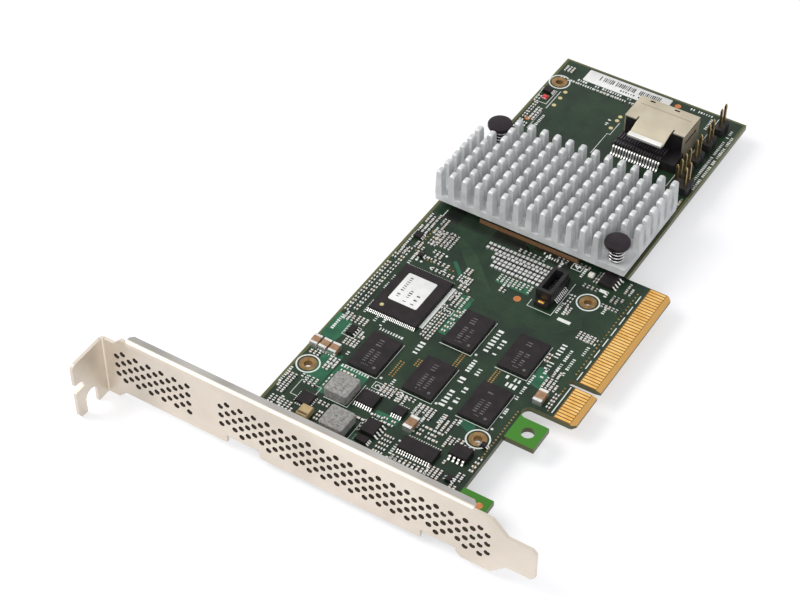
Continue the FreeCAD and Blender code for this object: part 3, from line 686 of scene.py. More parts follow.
def chip(x, y, length, width, lift, height):
    """Epoxy body with its parting line, drafted sides and eased top edge."""
    return moulded(x, y, length, width, [(0.10, lift), (0.0, (lift + height) / 2), (0.08, height - 0.06),
                                         (0.14, height)])


chip_lift = 0.10
for name, x, y, length, width, height, ends, count, pitch, reach in (
        ("driver_chip", 24.0, 43.6, 4.4, 5.1, 1.0, "x", 8, 0.65, 1.05),
        ("monitor_chip", 25.4, 36.0, 2.8, 3.3, 1.0, "x", 5, 0.62, 0.95),
        ("expander_chip", 16.6, 22.6, 4.4, 9.7, 1.1, "x", 14, 0.65, 1.05),
        ("serial_memory_1", 16.3, 38.6, 4.7, 3.8, 1.5, "y", 4, 1.2, 1.10),
        ("serial_memory_2", 21.2, 16.0, 3.9, 4.9, 1.5, "x", 4, 1.2, 1.10),
        ("serial_memory_3", 90.3, 14.2, 4.9, 3.9, 1.5, "y", 4, 1.2, 1.10)):
    piece(name + "_body", [chip(x, y, length, width, chip_lift, height)], epoxy, (name,))
    across, up, rise = x + length / 2, y + width / 2, (chip_lift + height) / 2
    if ends == "x":
        sides = [(pitch * 0.45, x + length, up, 0), (pitch * 0.45, x, up, 2)]
    else:
        sides = [(pitch * 0.38, across, y + width, 1), (pitch * 0.38, across, y, 3)]
    piece(name + "_leads", [lead_row(count, pitch, reach, rise, *side) for side in sides], tin)
piece("regulator_chip_body", [chip(16.4, 57.0, 4.0, 4.0, 0.0, 0.9)], epoxy, ("regulator_chip",))
piece("regulator_pads", [lead_row(6, 0.6, 0.45, 0.12, 0.3, x, y, turn) for x, y, turn in (
    (20.4, 59.0, 0), (16.4, 59.0, 2), (18.4, 61.0, 1), (18.4, 57.0, 3))], tin)

# Small transistors and gates stand between the chips: the same epoxy, in little blocks on four
# or six short tinned legs.
transistors, legs = [], []
for x, y, length, width, count in (
        (42.0, 61.1, 2.9, 1.9, 3), (13.6, 39.0, 2.0, 3.2, 3), (80.6, 65.0, 2.2, 2.2, 3),
        (150.6, 65.2, 1.9, 2.6, 3), (14.2, 16.3, 2.0, 1.4, 2), (74.9, 60.8, 1.4, 1.6, 3),
        (27.6, 14.6, 1.4, 1.4, 2)):
    transistors.append(chip(x, y, length, width, 0.05, 1.0))
    legs += [lead_row(count, length / (count + 0.2), 0.65, 0.45, 0.35, x + length / 2, side, turn)
             for side, turn in ((y + width, 1), (y, 3))]
piece("small_transistors", transistors, epoxy)
piece("transistor_legs", legs, tin)

# Five memory chips of the ball-grid kind: thin dark bodies with no leads, each with a faint
# laser dot at the first ball and rows of grey laser marks.
memory_corners = [(33.4, 48.7), (33.4, 33.1), (33.4, 17.4), (52.1, 33.1), (52.1, 17.4)]
memory_length, memory_width, memory_height = 12.5, 8.2, 1.10
laser = finish("laser_grey", (0.07, 0.065, 0.065), (0.14, 0.13, 0.13), 1500.0, (0.5, 0.6), (4000.0, 0.2))
tree, given = new_tree("rows_of_marks", {
    "Count": 8, "Pitch": 0.8, "Tall": 1.0, "Wide": 0.5, "Thickness": 0.02, "Seed": 1})
line = node(tree, "GeometryNodeMeshLine", {"Count": given["Count"], "Offset": point(tree, given["Pitch"])})
bar = node(tree, "GeometryNodeMeshCube", {
    "Size": point(tree, given["Wide"], given["Tall"], given["Thickness"])})
chance = node(tree, "FunctionNodeRandomValue", {"Probability": 0.86, "Seed": given["Seed"]},
              data_type="BOOLEAN")
stretch = node(tree, "FunctionNodeRandomValue", {
    0: (0.55, 0.75, 1.0), 1: (1.35, 1.0, 1.0), "Seed": given["Seed"]}, data_type="FLOAT_VECTOR")
close_tree(tree, copies(tree, line.outputs[0], bar.outputs[0], {
    "Selection": chance.outputs[3], "Scale": stretch.outputs[0]}), laser)
mark_tree = tree


def marks(x, y, count, pitch, tall, wide, height, seed, quarter_turns=0):
    """A row of plain marks at a height above the board, as dense as a line of print."""
    sizes = {"Count": count, "Pitch": pitch, "Tall": tall, "Wide": wide, "Seed": seed}
    return laid(grown(mark_tree, sizes), x, y, board + height + 0.01, quarter_turns)


def dot(x, y, radius, height=0.0):
    """A round dot of ink, or a bare round land, at a height above the board."""
    low = board + height
    return turned([(0, low), (radius, low), (radius, low + 0.02), (0, low + 0.02)], (x, y), 16)


faint = []
for index, (x, y) in enumerate(memory_corners):
    body = moulded(x, y, memory_length, memory_width, [
        (0.25, 0.0), (0.25, 0.30), (0.0, 0.32), (0.0, 1.02), (0.08, memory_height)])
    piece("memory_body_%d" % (index + 1), [body], epoxy, ("memory_chip_%d" % (index + 1),))
    faint += [dot(x + 1.6, y + 1.5, 0.42, memory_height),
              marks(x + 2.6, y + 5.0, 6, 0.80, 1.15, 0.30, memory_height, 10 + index),
              marks(x + 2.6, y + 3.2, 6, 0.80, 1.15, 0.30, memory_height, 20 + index),
              marks(x + 8.6, y + 4.6, 3, 0.90, 1.6, 0.35, memory_height, 30 + index),
              marks(x + 1.5, y + 3.4, 4, 0.55, 0.5, 0.25, memory_height, 40 + index, 1)]
piece("laser_marks", faint, laser)

# The flash chip: a wide thin epoxy body with a close row of leads at each end, and a paper
# label with lines of plain marks.
flash_x, flash_y, flash_length, flash_width, flash_height = 52.2, 48.9, 18.4, 14.0, 1.10
label_top = flash_height + 0.10
flash_body = chip(flash_x, flash_y, flash_length, flash_width, chip_lift, flash_height)
piece("flash_body", [flash_body], epoxy, ("flash_chip",))
piece("flash_leads", [lead_row(28, 0.5, 0.85, 0.55, 0.22, x, flash_y + flash_width / 2, turn)
                      for x, turn in ((flash_x + flash_length, 0), (flash_x, 2))], tin)
label_paper = finish("label_paper", (0.74, 0.74, 0.73), (0.82, 0.82, 0.81), 500.0, (0.45, 0.6),
                     (3000.0, 0.15))
label_ink = finish("label_ink", (0.03, 0.03, 0.03), (0.09, 0.09, 0.09), 2500.0, (0.5, 0.7), (4000.0, 0.1))
flash_label = moulded(flash_x + 5.0, flash_y + 3.0, 10.6, 8.4, [
    (0.0, flash_height), (0.0, flash_height + 0.07), (0.05, label_top)], 0.3)
piece("flash_label", [flash_label], label_paper, ("flash_chip_label",))
label_rows = [marks(58.3, y, count, 0.80, 1.0, 0.34, label_top, seed)
              for y, count, seed in ((58.6, 11, 3), (56.1, 6, 5), (53.8, 5, 7))]
piece("flash_label_print", label_rows, label_ink)

# The card's own label near the far edge: white film with a row of bars and small marks.
film = 0.10
card_label = moulded(161.3, 34.8, 5.2, 26.0, [(0.0, 0.0), (0.0, 0.06), (0.06, film)], 0.25)
piece("card_label", [card_label], label_paper, ("board_label",))
piece("card_label_bars", [marks(164.5, 38.0, 34, 0.56, 2.3, 0.32, film, 11, 1),
                          marks(162.5, 38.0, 15, 0.80, 0.8, 0.40, film, 12, 1)], label_ink)

# The power inductors: a coil pressed into grey iron powder, square with eased corners, on two
# tinned ends. Their tops are grainy and carry faint marks.
inductor_height = 3.0
ferrite = finish("iron_powder", (0.20, 0.195, 0.185), (0.36, 0.35, 0.335), 1500.0, (0.55, 0.75),
                 (2600.0, 0.9))
for index, (x, y, length, width) in enumerate(((21.7, 49.6, 6.9, 6.6), (12.1, 44.7, 6.7, 6.7)), 1):
    body = moulded(x, y, length, width, [(0.15, 0.10), (0.0, 0.25), (0.0, 2.75), (0.10, 2.92),
                                         (0.30, inductor_height)], 0.45)
    piece("inductor_body_%d" % index, [body], ferrite, ("power_inductor_%d" % index,), angle=25.0)
    piece("inductor_ends_%d" % index, [moulded(x + side * (length - 0.9), y + 1.6, 0.9, width - 3.2,
                                               [(0.0, 0.0), (0.0, 0.14)]) for side in (0, 1)], tin)
iron_ink = finish("iron_marks", (0.15, 0.145, 0.14), (0.22, 0.21, 0.20), 1500.0, (0.6, 0.7), (3000.0, 0.3))
iron_rows = [(23.2, 53.6, 5, 51), (23.2, 51.8, 4, 52), (13.4, 48.6, 5, 53), (13.4, 46.6, 4, 54)]
piece("inductor_marks", [marks(x, y, count, 0.80, 1.0, 0.30, inductor_height, seed)
                         for x, y, count, seed in iron_rows], iron_ink)

# Capacitors: a tan moulded tantalum with a dark stripe, and stacks of brown ceramic whose
# tinned ends wrap round onto the pads.
tan = finish("tan_moulding", (0.42, 0.30, 0.14), (0.55, 0.41, 0.21), 700.0, (0.4, 0.55), (2500.0, 0.3))
brown = finish("brown_ceramic", (0.25, 0.135, 0.070), (0.36, 0.21, 0.115), 800.0, (0.30, 0.45), (2800.0, 0.3))
stripe_ink = finish("brown_ink", (0.10, 0.05, 0.02), (0.15, 0.08, 0.035), 1500.0, (0.5, 0.6), (3000.0, 0.2))
body = moulded(12.4, 54.9, 3.6, 3.1, [(0.12, 0.05), (0.0, 0.95), (0.10, 1.82), (0.18, 1.90)])
piece("tantalum_body", [body], tan, ("tantalum_capacitor",))
piece("tantalum_ends", [moulded(x, 55.5, 0.5, 1.9, [(0.0, 0.0), (0.0, 1.0)]) for x in (12.28, 15.62)],
      tin)
stripe = moulded(12.75, 55.15, 0.7, 2.6, [(0.0, 1.88), (0.0, 1.915)])
piece("tantalum_stripe", [stripe], stripe_ink)
tree, given = new_tree("end_capped_parts", {
    "Length": 1.0, "Width": 0.5, "Height": 0.35, "Cap": 0.25, "Caps": False, "Seed": 4})


def slab(length, width, height, offset):
    """A block of a part, standing on the board at an offset along it."""
    cube = node(tree, "GeometryNodeMeshCube", {"Size": point(tree, length, width, height)})
    place = point(tree, offset, 0.0, sums(tree, "MULTIPLY", height, 0.5))
    moved = node(tree, "GeometryNodeTransform", {"Geometry": cube.outputs["Mesh"], "Translation": place})
    return moved.outputs[0]


core = slab(sums(tree, "SUBTRACT", given["Length"], sums(tree, "MULTIPLY", given["Cap"], 1.4)),
            sums(tree, "SUBTRACT", given["Width"], 0.03), sums(tree, "SUBTRACT", given["Height"], 0.03), 0.0)
out = sums(tree, "MULTIPLY", sums(tree, "SUBTRACT", given["Length"], given["Cap"]), 0.5)
caps = joined(tree, *(slab(given["Cap"], given["Width"], given["Height"], sums(tree, "MULTIPLY", out, side))
                      for side in (1.0, -1.0)))
part = node(tree, "GeometryNodeSwitch", {"Switch": given["Caps"], "False": core, "True": caps},
            input_type="GEOMETRY")
turn = node(tree, "GeometryNodeInputNamedAttribute", {"Name": "turn"}, data_type="FLOAT")
slack = node(tree, "FunctionNodeRandomValue", {2: -0.06, 3: 0.06, "Seed": given["Seed"]}, data_type="FLOAT")
swing = point(tree, 0.0, 0.0, sums(tree, "ADD", turn.outputs[0], slack.outputs[1]))
tone = node(tree, "FunctionNodeRandomValue", {2: 0.0, 3: 1.0, "Seed": given["Seed"]}, data_type="FLOAT")
toned = node(tree, "GeometryNodeStoreNamedAttribute", {
    "Geometry": copies(tree, given["Geometry"], part.outputs[0], {"Rotation": swing}), "Name": "tone",
    "Value": tone.outputs[1]}, data_type="FLOAT", domain="INSTANCE")
close_tree(tree, toned.outputs[0], tin)
part_tree = tree


def end_capped(name, places, sizes, body_finish, replaced=(), level=board, seed=4):
    """Ceramic bodies and tinned ends of like parts at (x, y, quarter turns), as two pieces."""
    for caps, tail, finish_used, slot_name in (
            (False, "_bodies", body_finish, "ceramic"), (True, "_ends", tin, "tin")):
        base = scaffold([(x, y, level) for x, y, turn in places])
        turns = base.attributes.new("turn", "FLOAT", "POINT")
        for index, (x, y, turn) in enumerate(places):
            turns.data[index].value = turn * math.pi / 2
        named = dict(zip(("Length", "Width", "Height", "Cap"), sizes))
        made = grown(part_tree, {**named, "Caps": caps, "Seed": seed}, base)
        if level < board:
            made.transform(Matrix.Translation((0, 0, 2 * level)) @ Matrix.Scale(-1.0, 4, (0, 0, 1)))
            made.flip_normals()
        piece(name + tail, [made], finish_used, () if caps else replaced)


end_capped("ceramic_stack", [(35.4, y + 1.1, 0) for y in (60.8, 63.5, 66.2)], (3.2, 2.2, 1.7, 0.65),
           brown, ("ceramic_capacitors",))
end_capped("bulk_stack", [(48.4, 11.3, 0), (24.65, 33.1, 0)], (4.2, 2.4, 1.6, 0.85),
           brown, ("bulk_capacitors",))

# The small parts: hundreds of chip resistors and capacitors, black, brown or grey between
# bright tinned ends, set in banks by machine and a touch askew.
chip_ceramic = finish("small_bodies", (0.010, 0.010, 0.012), (0.022, 0.021, 0.021), 900.0, (0.35, 0.5),
                      (3500.0, 0.3))
tree = chip_ceramic.node_tree
tone = node(tree, "ShaderNodeAttribute", attribute_name="tone").outputs["Fac"]
tinted(chip_ceramic, sums(tree, "GREATER_THAN", tone, 0.55), (0.26, 0.16, 0.085))
tinted(chip_ceramic, sums(tree, "GREATER_THAN", tone, 0.86), (0.36, 0.34, 0.30))
# Each bank is its first place, how many parts across and up, the two steps and a quarter turn.
banks = [
    (49.2, 67.4, 20, 1, 1.25, 1.2, 1), (49.2, 65.4, 22, 1, 1.30, 1.2, 1),
    (76.0, 67.3, 12, 1, 1.30, 1.0, 0), (83.0, 65.0, 7, 2, 1.30, 1.15, 0),
    (85.0, 62.2, 5, 2, 1.30, 1.10, 0), (81.6, 56.8, 4, 5, 1.50, 1.15, 0),
    (73.6, 61.9, 3, 2, 1.30, 1.10, 0), (75.8, 59.0, 1, 2, 1.30, 1.20, 1),
    (72.9, 46.2, 3, 3, 0.9, 1.25, 1), (51.0, 44.9, 10, 1, 1.05, 1.3, 1), (51.5, 46.6, 9, 1, 1.10, 1.3, 1),
    (55.6, 42.9, 6, 1, 1.5, 1.0, 1), (64.6, 43.4, 4, 4, 1.35, 1.2, 0), (70.9, 44.9, 2, 3, 1.2, 1.2, 0),
    (46.8, 60.6, 2, 6, 1.4, 1.15, 0), (39.3, 58.6, 2, 4, 1.5, 1.0, 0), (42.8, 58.4, 3, 2, 1.2, 0.95, 0),
    (29.6, 59.2, 4, 3, 1.15, 1.0, 0), (23.2, 60.0, 2, 3, 1.5, 1.2, 0), (13.6, 60.2, 2, 7, 1.5, 1.05, 0),
    (17.6, 65.4, 5, 3, 1.45, 1.0, 0), (29.6, 56.6, 2, 4, 1.3, -1.1, 1), (19.4, 53.4, 1, 3, 1.3, 1.1, 0),
    (20.0, 43.2, 1, 5, 1.2, 1.2, 1), (29.7, 42.2, 3, 4, 1.3, 1.05, 0), (29.8, 38.6, 2, 2, 1.4, 1.2, 0),
    (13.4, 34.8, 5, 2, 1.35, 1.5, 1), (21.6, 40.6, 2, 2, 1.3, 1.2, 1), (28.4, 33.9, 3, 2, 1.3, 1.05, 0),
    (28.6, 30.6, 3, 5, 1.35, 1.05, 0), (23.3, 25.6, 3, 5, 1.35, 1.15, 1),
    (27.4, 24.9, 4, 3, 1.30, 1.30, 0), (23.4, 22.3, 3, 2, 1.35, 1.05, 0),
    (13.3, 19.6, 3, 4, 1.35, 1.05, 0), (13.5, 14.6, 4, 2, 1.35, 1.1, 0), (20.0, 13.9, 4, 1, 1.4, 1.1, 1),
    (13.1, 22.6, 2, 9, 1.10, 1.15, 0), (46.9, 8.4, 6, 1, 1.15, 1.0, 1), (52.4, 9.8, 3, 4, 1.25, 1.05, 0),
    (56.6, 11.0, 2, 2, 1.3, 1.3, 0), (71.3, 9.6, 2, 5, 1.50, 1.0, 0), (84.3, 9.6, 1, 5, 1.2, 1.0, 0),
    (77.2, 19.6, 2, 3, 1.5, 1.1, 0), (79.8, 21.3, 4, 1, 1.2, 1.1, 1), (88.3, 17.4, 1, 4, 1.2, 1.15, 0),
    (90.7, 19.0, 4, 1, 1.2, 1.1, 1), (94.3, 22.6, 1, 4, 1.2, 1.2, 0), (90.8, 33.9, 1, 6, 1.2, 1.4, 0),
    (127.6, 66.8, 9, 1, 1.15, 1.0, 1), (127.6, 65.1, 8, 1, 1.2, 1.0, 1),
    (138.4, 66.8, 7, 1, 1.15, 1.0, 1), (138.6, 64.2, 5, 2, 1.15, 0.95, 0),
    (146.0, 67.3, 3, 1, 1.2, 1.0, 1), (126.2, 14.3, 4, 1, 1.3, 1.0, 0), (158.8, 44.2, 1, 9, 1.0, 2.2, 1),
    (162.6, 64.9, 2, 3, 1.3, 1.0, 0), (156.2, 27.4, 2, 2, 1.3, 1.3, 0), (128.4, 54.0, 1, 7, 1.0, 1.35, 0),
    (99.0, 66.8, 8, 1, 1.4, 1.0, 1), (46.5, 64.2, 2, 3, 1.2, 1.0, 0), (75.6, 37.0, 3, 2, 1.2, 1.1, 0),
    (78.6, 31.6, 2, 9, 1.5, 1.1, 0), (76.2, 47.6, 2, 2, 1.3, 1.1, 0), (74.2, 66.0, 2, 2, 1.3, 1.1, 0),
    (78.0, 62.6, 2, 3, 1.3, 1.1, 0), (80.6, 61.0, 5, 2, 1.25, 1.1, 1), (82.0, 58.6, 5, 1, 1.2, 1.0, 1),
    (77.4, 57.0, 2, 3, 1.3, 1.2, 0), (75.6, 53.6, 1, 4, 1.2, 1.3, 0), (62.2, 46.9, 2, 1, 1.2, 1.0, 1),
    (67.6, 46.6, 2, 1, 1.2, 1.0, 1), (22.0, 37.2, 2, 3, 1.3, 1.1, 1), (31.6, 36.6, 1, 6, 1.2, 1.15, 0),
    (13.3, 30.8, 1, 2, 1.2, 1.1, 0), (14.4, 53.6, 3, 1, 1.2, 1.0, 1), (19.0, 56.0, 1, 2, 1.2, 1.1, 0),
    (24.6, 57.6, 4, 1, 1.2, 1.0, 1), (24.6, 62.8, 1, 2, 1.2, 1.1, 0), (32.4, 64.6, 1, 3, 1.2, 1.1, 0),
    (25.2, 20.0, 2, 2, 1.3, 1.2, 0), (19.0, 20.6, 1, 1, 1.2, 1.1, 0), (60.0, 16.2, 3, 1, 1.2, 1.0, 1),
    (86.9, 10.0, 2, 3, 1.4, 1.2, 0), (91.4, 9.4, 3, 2, 1.4, 1.3, 0), (93.4, 28.6, 1, 3, 1.2, 1.2, 0),
    (72.9, 50.6, 1, 6, 1.2, 1.2, 0)]
bank_places = [(x + i * step_x, y + j * step_y, turn) for x, y, across, up, step_x, step_y, turn in banks
               for i in range(across) for j in range(up)]
choice = random.Random(7)
small_places = [place for place in bank_places if choice.random() < 0.93]
end_capped("small_parts", small_places, (1.12, 0.60, 0.38, 0.36), chip_ceramic, seed=9)

# The resistor networks: three close columns of little arrays, each a ceramic slab with a dark
# glazed face and bright ends.
glaze = finish("dark_glaze", (0.010, 0.011, 0.010), (0.022, 0.024, 0.021), 900.0, (0.3, 0.45), (3500.0, 0.3))
network_step = 1.2
network_places = [(x, first + network_step * i, 0)
                  for x, first, last in ((82.7, 31.0, 45.0), (85.5, 31.0, 46.5), (88.2, 30.6, 48.9))
                  for i in range(int((last - first) / network_step) + 1)]
end_capped("network_arrays", network_places, (2.40, 0.86, 0.48, 0.86), glaze, ("resistor_networks",),
           seed=12)

# The storage connector: a black glass-filled body with a ribbed step, and a folded cage of
# beige plated steel over it. A spring tongue with a curled lip holds the plug; the lip's near white is a
# painted highlight.
moulding = finish("black_moulding", (0.010, 0.009, 0.010), (0.020, 0.018, 0.019), 600.0, (0.35, 0.5),
                  (2400.0, 0.3), specular=0.28)
cage_plate = finish("beige_plate", (0.50, 0.44, 0.33), (0.60, 0.54, 0.42), 120.0, (0.34, 0.48),
                    (1500.0, 0.15), metallic=0.7)
wear_finish("socket_body", moulding)
socket_x = 144.60
cage_end = socket_x + 9.8
cage_low, cage_high = 21.40, 39.30
cage_top = board + 8.50
wall = 0.40
tongue_low, tongue_width = 25.25, 10.2
relief_x = socket_x + 1.3
roof = [(cage_end, cage_low), (cage_end, cage_high), (socket_x, cage_high), (socket_x, 35.9),
        (relief_x, 35.9), (relief_x, 35.45), (socket_x, 35.45), (socket_x, tongue_low),
        (relief_x, tongue_low), (relief_x, 24.8), (socket_x, 24.8), (socket_x, cage_low)]
cage_parts = [punched(roof, wall, corner=0.08, shift=(0, 0, cage_top - wall))]
flank = [(socket_x, board), (cage_end, board), (cage_end, cage_top - 0.1), (socket_x, cage_top - 0.1)]
flank_on = Matrix(((1, 0, 0, 0), (0, 0, 1, 0), (0, 1, 0, 0), (0, 0, 0, 1)))
for y in (cage_low, cage_high - wall):
    side = punched(flank, wall, corner=0.3, placed=flank_on, shift=(0, y, 0))
    side.flip_normals()
    cage_parts.append(side)
tongue = [(socket_x + x, cage_top + z) for x, z in (
    (0.2, 0.0), (-1.2, -0.12), (-3.2, -0.75), (-4.6, -1.20), (-5.3, -1.30), (-5.9, -1.05), (-6.25, -0.55))]
underside = [(x + 0.05, z - 0.32) for x, z in reversed(tongue)]
ridge = moulded(socket_x + 6.6, cage_low + 1.2, 0.22, 15.4, [(0.0, -0.05), (0.06, 0.0)], floor=cage_top)
cage_parts += [drawn_out(tongue + underside, tongue_width, tongue_low), ridge]
piece("cage_sheet", cage_parts, cage_plate, ("socket_cage",), angle=40.0)
# Painted highlight: the curled lip is the same plated sheet as the cage, coloured near white for the light it
# catches.
bright = finish("tongue_lip_painted_highlight", (0.80, 0.78, 0.74), (0.92, 0.91, 0.88), 300.0, (0.3, 0.4), (1500.0, 0.1),
                metallic=0.6)
curled_lip = moulded(socket_x - 6.30, 25.30, 1.55, 10.1, [(0.05, -1.30), (0.0, -0.62), (0.15, -0.45)],
                     floor=cage_top)
piece("tongue_lip", [curled_lip], bright)
# Painted shade: the two slots in the cage's top and the long slot in its near side are not cut. They are laid
# on as thin dark olive patches in place of the shade inside them.
slot_shade = finish("slot_painted_shade", (0.09, 0.085, 0.035), (0.14, 0.13, 0.06), 900.0, (0.4, 0.6), (2400.0, 0.3))
slots = [moulded(socket_x + 8.6, y, 0.55, 1.5, [(0.0, -0.02), (0.0, 0.0)], floor=cage_top)
         for y in (27.2, 34.6)]
slots.append(moulded(socket_x + 1.2, cage_low, 6.4, 0.02, [(0.0, 5.2), (0.0, 5.9)]))
piece("cage_slots", slots, slot_shade)
tree, given = new_tree("step_ribs", {
    "Count": 18, "Pitch": 0.80, "Length": 2.6, "Width": 0.38, "Height": 0.35})
line = node(tree, "GeometryNodeMeshLine", {
    "Count": given["Count"], "Offset": point(tree, 0.0, given["Pitch"])})
rib = node(tree, "GeometryNodeMeshCube", {
    "Size": point(tree, given["Length"], given["Width"], given["Height"])})
# Painted highlight: the ribs get a grey well lighter than the black moulding they are part of, in place of
# the light caught along their tops.
rib_finish = finish("rib_painted_highlight", (0.045, 0.040, 0.046), (0.085, 0.078, 0.086), 600.0, (0.35, 0.5),
                    (2400.0, 0.3), specular=0.3)
close_tree(tree, copies(tree, line.outputs[0], rib.outputs["Mesh"]), rib_finish)
first_rib = 25.4
step_ribs = laid(grown(tree), 142.4, first_rib, board + 2.97)
front_ribs = laid(grown(tree, {"Length": 0.9, "Height": 0.5}), 139.1, first_rib, board + 3.02)
piece("connector_ribs", [step_ribs, front_ribs], rib_finish)
tails = lead_row(18, 0.80, 1.90, 2.25, 0.40, 138.6, 32.2, 2)
piece("connector_tails", [tails], tin, ("socket_tails",))

# The cable socket for a battery module: black moulding open on top, soldered by a row of fine
# legs and held down by a gilt tab at each end.
wear_finish("cable_socket", moulding)
piece("cable_legs", [lead_row(9, 0.66, 0.95, 0.8, 0.26, 81.8, 24.4, 3)], tin)
hold_downs = [moulded(x, 25.7, 1.2, 1.8, [(0.0, 1.30), (0.05, 1.62), (0.3, 1.75)], 0.2)
              for x in (75.6, 86.9)]
piece("hold_downs", hold_downs, gold)
contact_rows = [marks(78.9, y, 11, 0.62, 0.25, 0.2, 1.2, seed) for y, seed in ((26.0, 71), (27.2, 72))]
piece("socket_contacts", contact_rows, tin)

# The pin headers: square gilt posts with chamfered ends, pressed through black bars and
# soldered below the board.
post_length, post_top, pitch = 12.46, 8.90, 2.54
tree, given = new_tree("header_posts", {"Width": 0.64, "Length": post_length, "Chamfer": 0.55})
post = node(tree, "GeometryNodeMeshCube", {
    "Size": point(tree, given["Width"], given["Width"], given["Length"]), "Vertices Z": 20})
spot = here(tree)
tip = sums(tree, "GREATER_THAN", sums(tree, "ABSOLUTE", spot["Z"]),
           sums(tree, "MULTIPLY", given["Length"], 0.49))
taper = sums(tree, "SUBTRACT", 1.0, sums(tree, "MULTIPLY", tip, given["Chamfer"]))
squeezed = point(tree, *(sums(tree, "MULTIPLY", spot[axis], taper) for axis in "XY"), spot["Z"])
pointed = node(tree, "GeometryNodeSetPosition", {"Geometry": post.outputs["Mesh"], "Position": squeezed})
dulled_gold = finish("dulled_gold", (0.34, 0.24, 0.10), (0.52, 0.39, 0.19), 700.0, (0.25, 0.4),
                     (2000.0, 0.15), metallic=1.0)
close_tree(tree, copies(tree, given["Geometry"], pointed.outputs[0]), dulled_gold)
status_x, status_y = 132.05, 13.95
header_bars = [(status_x, status_y, 2)]
header_bars += [(x, status_y + pitch, 1) for x in (status_x + 2 * pitch, 143.75, 151.37, 158.99)]
post_places = [(x + pitch * (column + 0.5), y + pitch * (row + 0.5))
               for x, y, rows in header_bars for column in range(2) for row in range(rows)]
base = scaffold([(x, y, board + post_top - post_length / 2) for x, y in post_places])
piece("header_posts", [grown(tree, base=base)], dulled_gold, ("header_pins",))
blocks = [moulded(x + pitch * column, y, pitch, pitch * rows, [(0.0, 0.0), (0.0, 2.4), (0.12, 2.5)], 0.42)
          for x, y, rows in header_bars for column in range(2)]
piece("status_block", blocks[:2], moulding, ("status_header",))
piece("jumper_blocks", blocks[2:], moulding, ("jumper_headers",))

# The two indicator lamps: tiny blocks of clear resin on tinned ends, one white and one red.
for name, x, y, length, dark, light, replaced in (
        ("white_lamp", 91.5, 20.2, 2.0, (0.62, 0.60, 0.52), (0.78, 0.76, 0.68), "status_led_1"),
        ("red_lamp", 147.9, 65.0, 1.7, (0.55, 0.020, 0.030), (0.75, 0.045, 0.055), "status_led_2")):
    clear_resin = finish(name + "_resin", dark, light, 900.0, (0.15, 0.3), (2000.0, 0.2))
    dome = moulded(x + 0.3, y, length - 0.6, 1.6, [(0.0, 0.0), (0.0, 0.5), (0.12, 0.74), (0.3, 0.80)], 0.15)
    piece(name, [dome], clear_resin, (replaced,))
    piece(name + "_ends", [moulded(end, y + 0.1, 0.35, 1.4, [(0.0, 0.0), (0.0, 0.3)])
                           for end in (x, x + length - 0.35)], tin)

# The holes for a battery carrier: each has a bare tan land, a dark gap and a printed ring, and
# is plated through to a like land below.
tan_land = finish("bare_land", (0.20, 0.115, 0.040), (0.33, 0.20, 0.080), 700.0, (0.3, 0.45),
                  (1600.0, 0.25), metallic=0.5)
ink = finish("white_ink", (0.66, 0.68, 0.65), (0.80, 0.82, 0.79), 1400.0, (0.5, 0.65), (3800.0, 0.35))
carrier_holes = [(28.6, 65.2), (29.5, 17.6), (83.5, 17.2), (157.0, 65.8)]
land = [(0.92, -0.03), (2.25, -0.03), (2.25, 0.0), (1.12, 0.0), (1.12, board), (2.25, board),
        (2.25, board + 0.03), (1.08, board + 0.03), (0.92, board - 0.25)]
piece("hole_lands", [turned(land, hole, 36, ring=True) for hole in carrier_holes], tan_land)
piece("hole_rings", [turned([(2.72, low), (3.10, low), (3.10, low + 0.02), (2.72, low + 0.02)], hole, 48,
                            ring=True) for hole in carrier_holes for low in (board, -0.02)], ink)

# The printing: white ink lines round the parts, boxed numbers, first-pin dots and rows of
# plain marks, all screened onto the varnish.
tree, given = new_tree("ink_lines", {"Width": 0.22, "Thickness": 0.02})
paths = node(tree, "GeometryNodeMeshToCurve", {"Mesh": given["Geometry"]})
flat = node(tree, "GeometryNodeSetCurveNormal", {"Curve": paths.outputs[0]}, mode="Z_UP")
nib = node(tree, "GeometryNodeCurvePrimitiveQuadrilateral", {
    "Width": given["Width"], "Height": given["Thickness"]})
drawn = node(tree, "GeometryNodeCurveToMesh", {
    "Curve": flat.outputs[0], "Profile Curve": nib.outputs[0], "Fill Caps": True})
close_tree(tree, drawn.outputs[0], ink)
line_tree = tree


def ink_lines(paths, width, level=board + 0.01):
    """Lines along paths, each an open run of points."""
    spots, runs = [], []
    for path in paths:
        runs += [(len(spots) + i, len(spots) + i + 1) for i in range(len(path) - 1)]
        spots += [(x, y, level) for x, y in path]
    return grown(line_tree, {"Width": width, "Thickness": 0.02}, scaffold(spots, runs))


def frame_of(x0, y0, x1, y1):
    """A closed rectangle as a path."""
    return [(x0, y0), (x1, y0), (x1, y1), (x0, y1), (x0, y0 - 0.11)]


thin = [[(x - 0.3, y + 8.6), (x - 0.3, y - 0.3), (x + 12.9, y - 0.3)] for x, y in memory_corners]
thin += [
    frame_of(18.3, 57.9, 23.5, 63.5), [(21.5, 56.0), (21.5, 49.3), (30.0, 49.3)],
    frame_of(41.6, 60.4, 45.4, 63.9), [(77.0, 29.8), (74.5, 29.8), (74.5, 23.0), (87.6, 23.0)],
    frame_of(30.2, 45.1, 32.4, 47.9), frame_of(60.8, 44.2, 63.1, 47.0), frame_of(92.2, 24.1, 94.2, 26.9),
    [(90.5, 64.8), (94.4, 64.8)], [(134.6, 63.7), (143.0, 63.7), (143.0, 65.2), (144.4, 65.2)],
    [(144.8, 63.4), (153.4, 63.4)], frame_of(146.4, 64.3, 152.9, 68.2),
    [(134.6, 43.9), (144.2, 43.9), (144.2, 43.0), (150.0, 43.0)],
    [(13.2, 44.4), (13.2, 43.8), (19.4, 43.8)], [(133.5, 21.4), (133.5, 20.4), (165.9, 20.4)]]
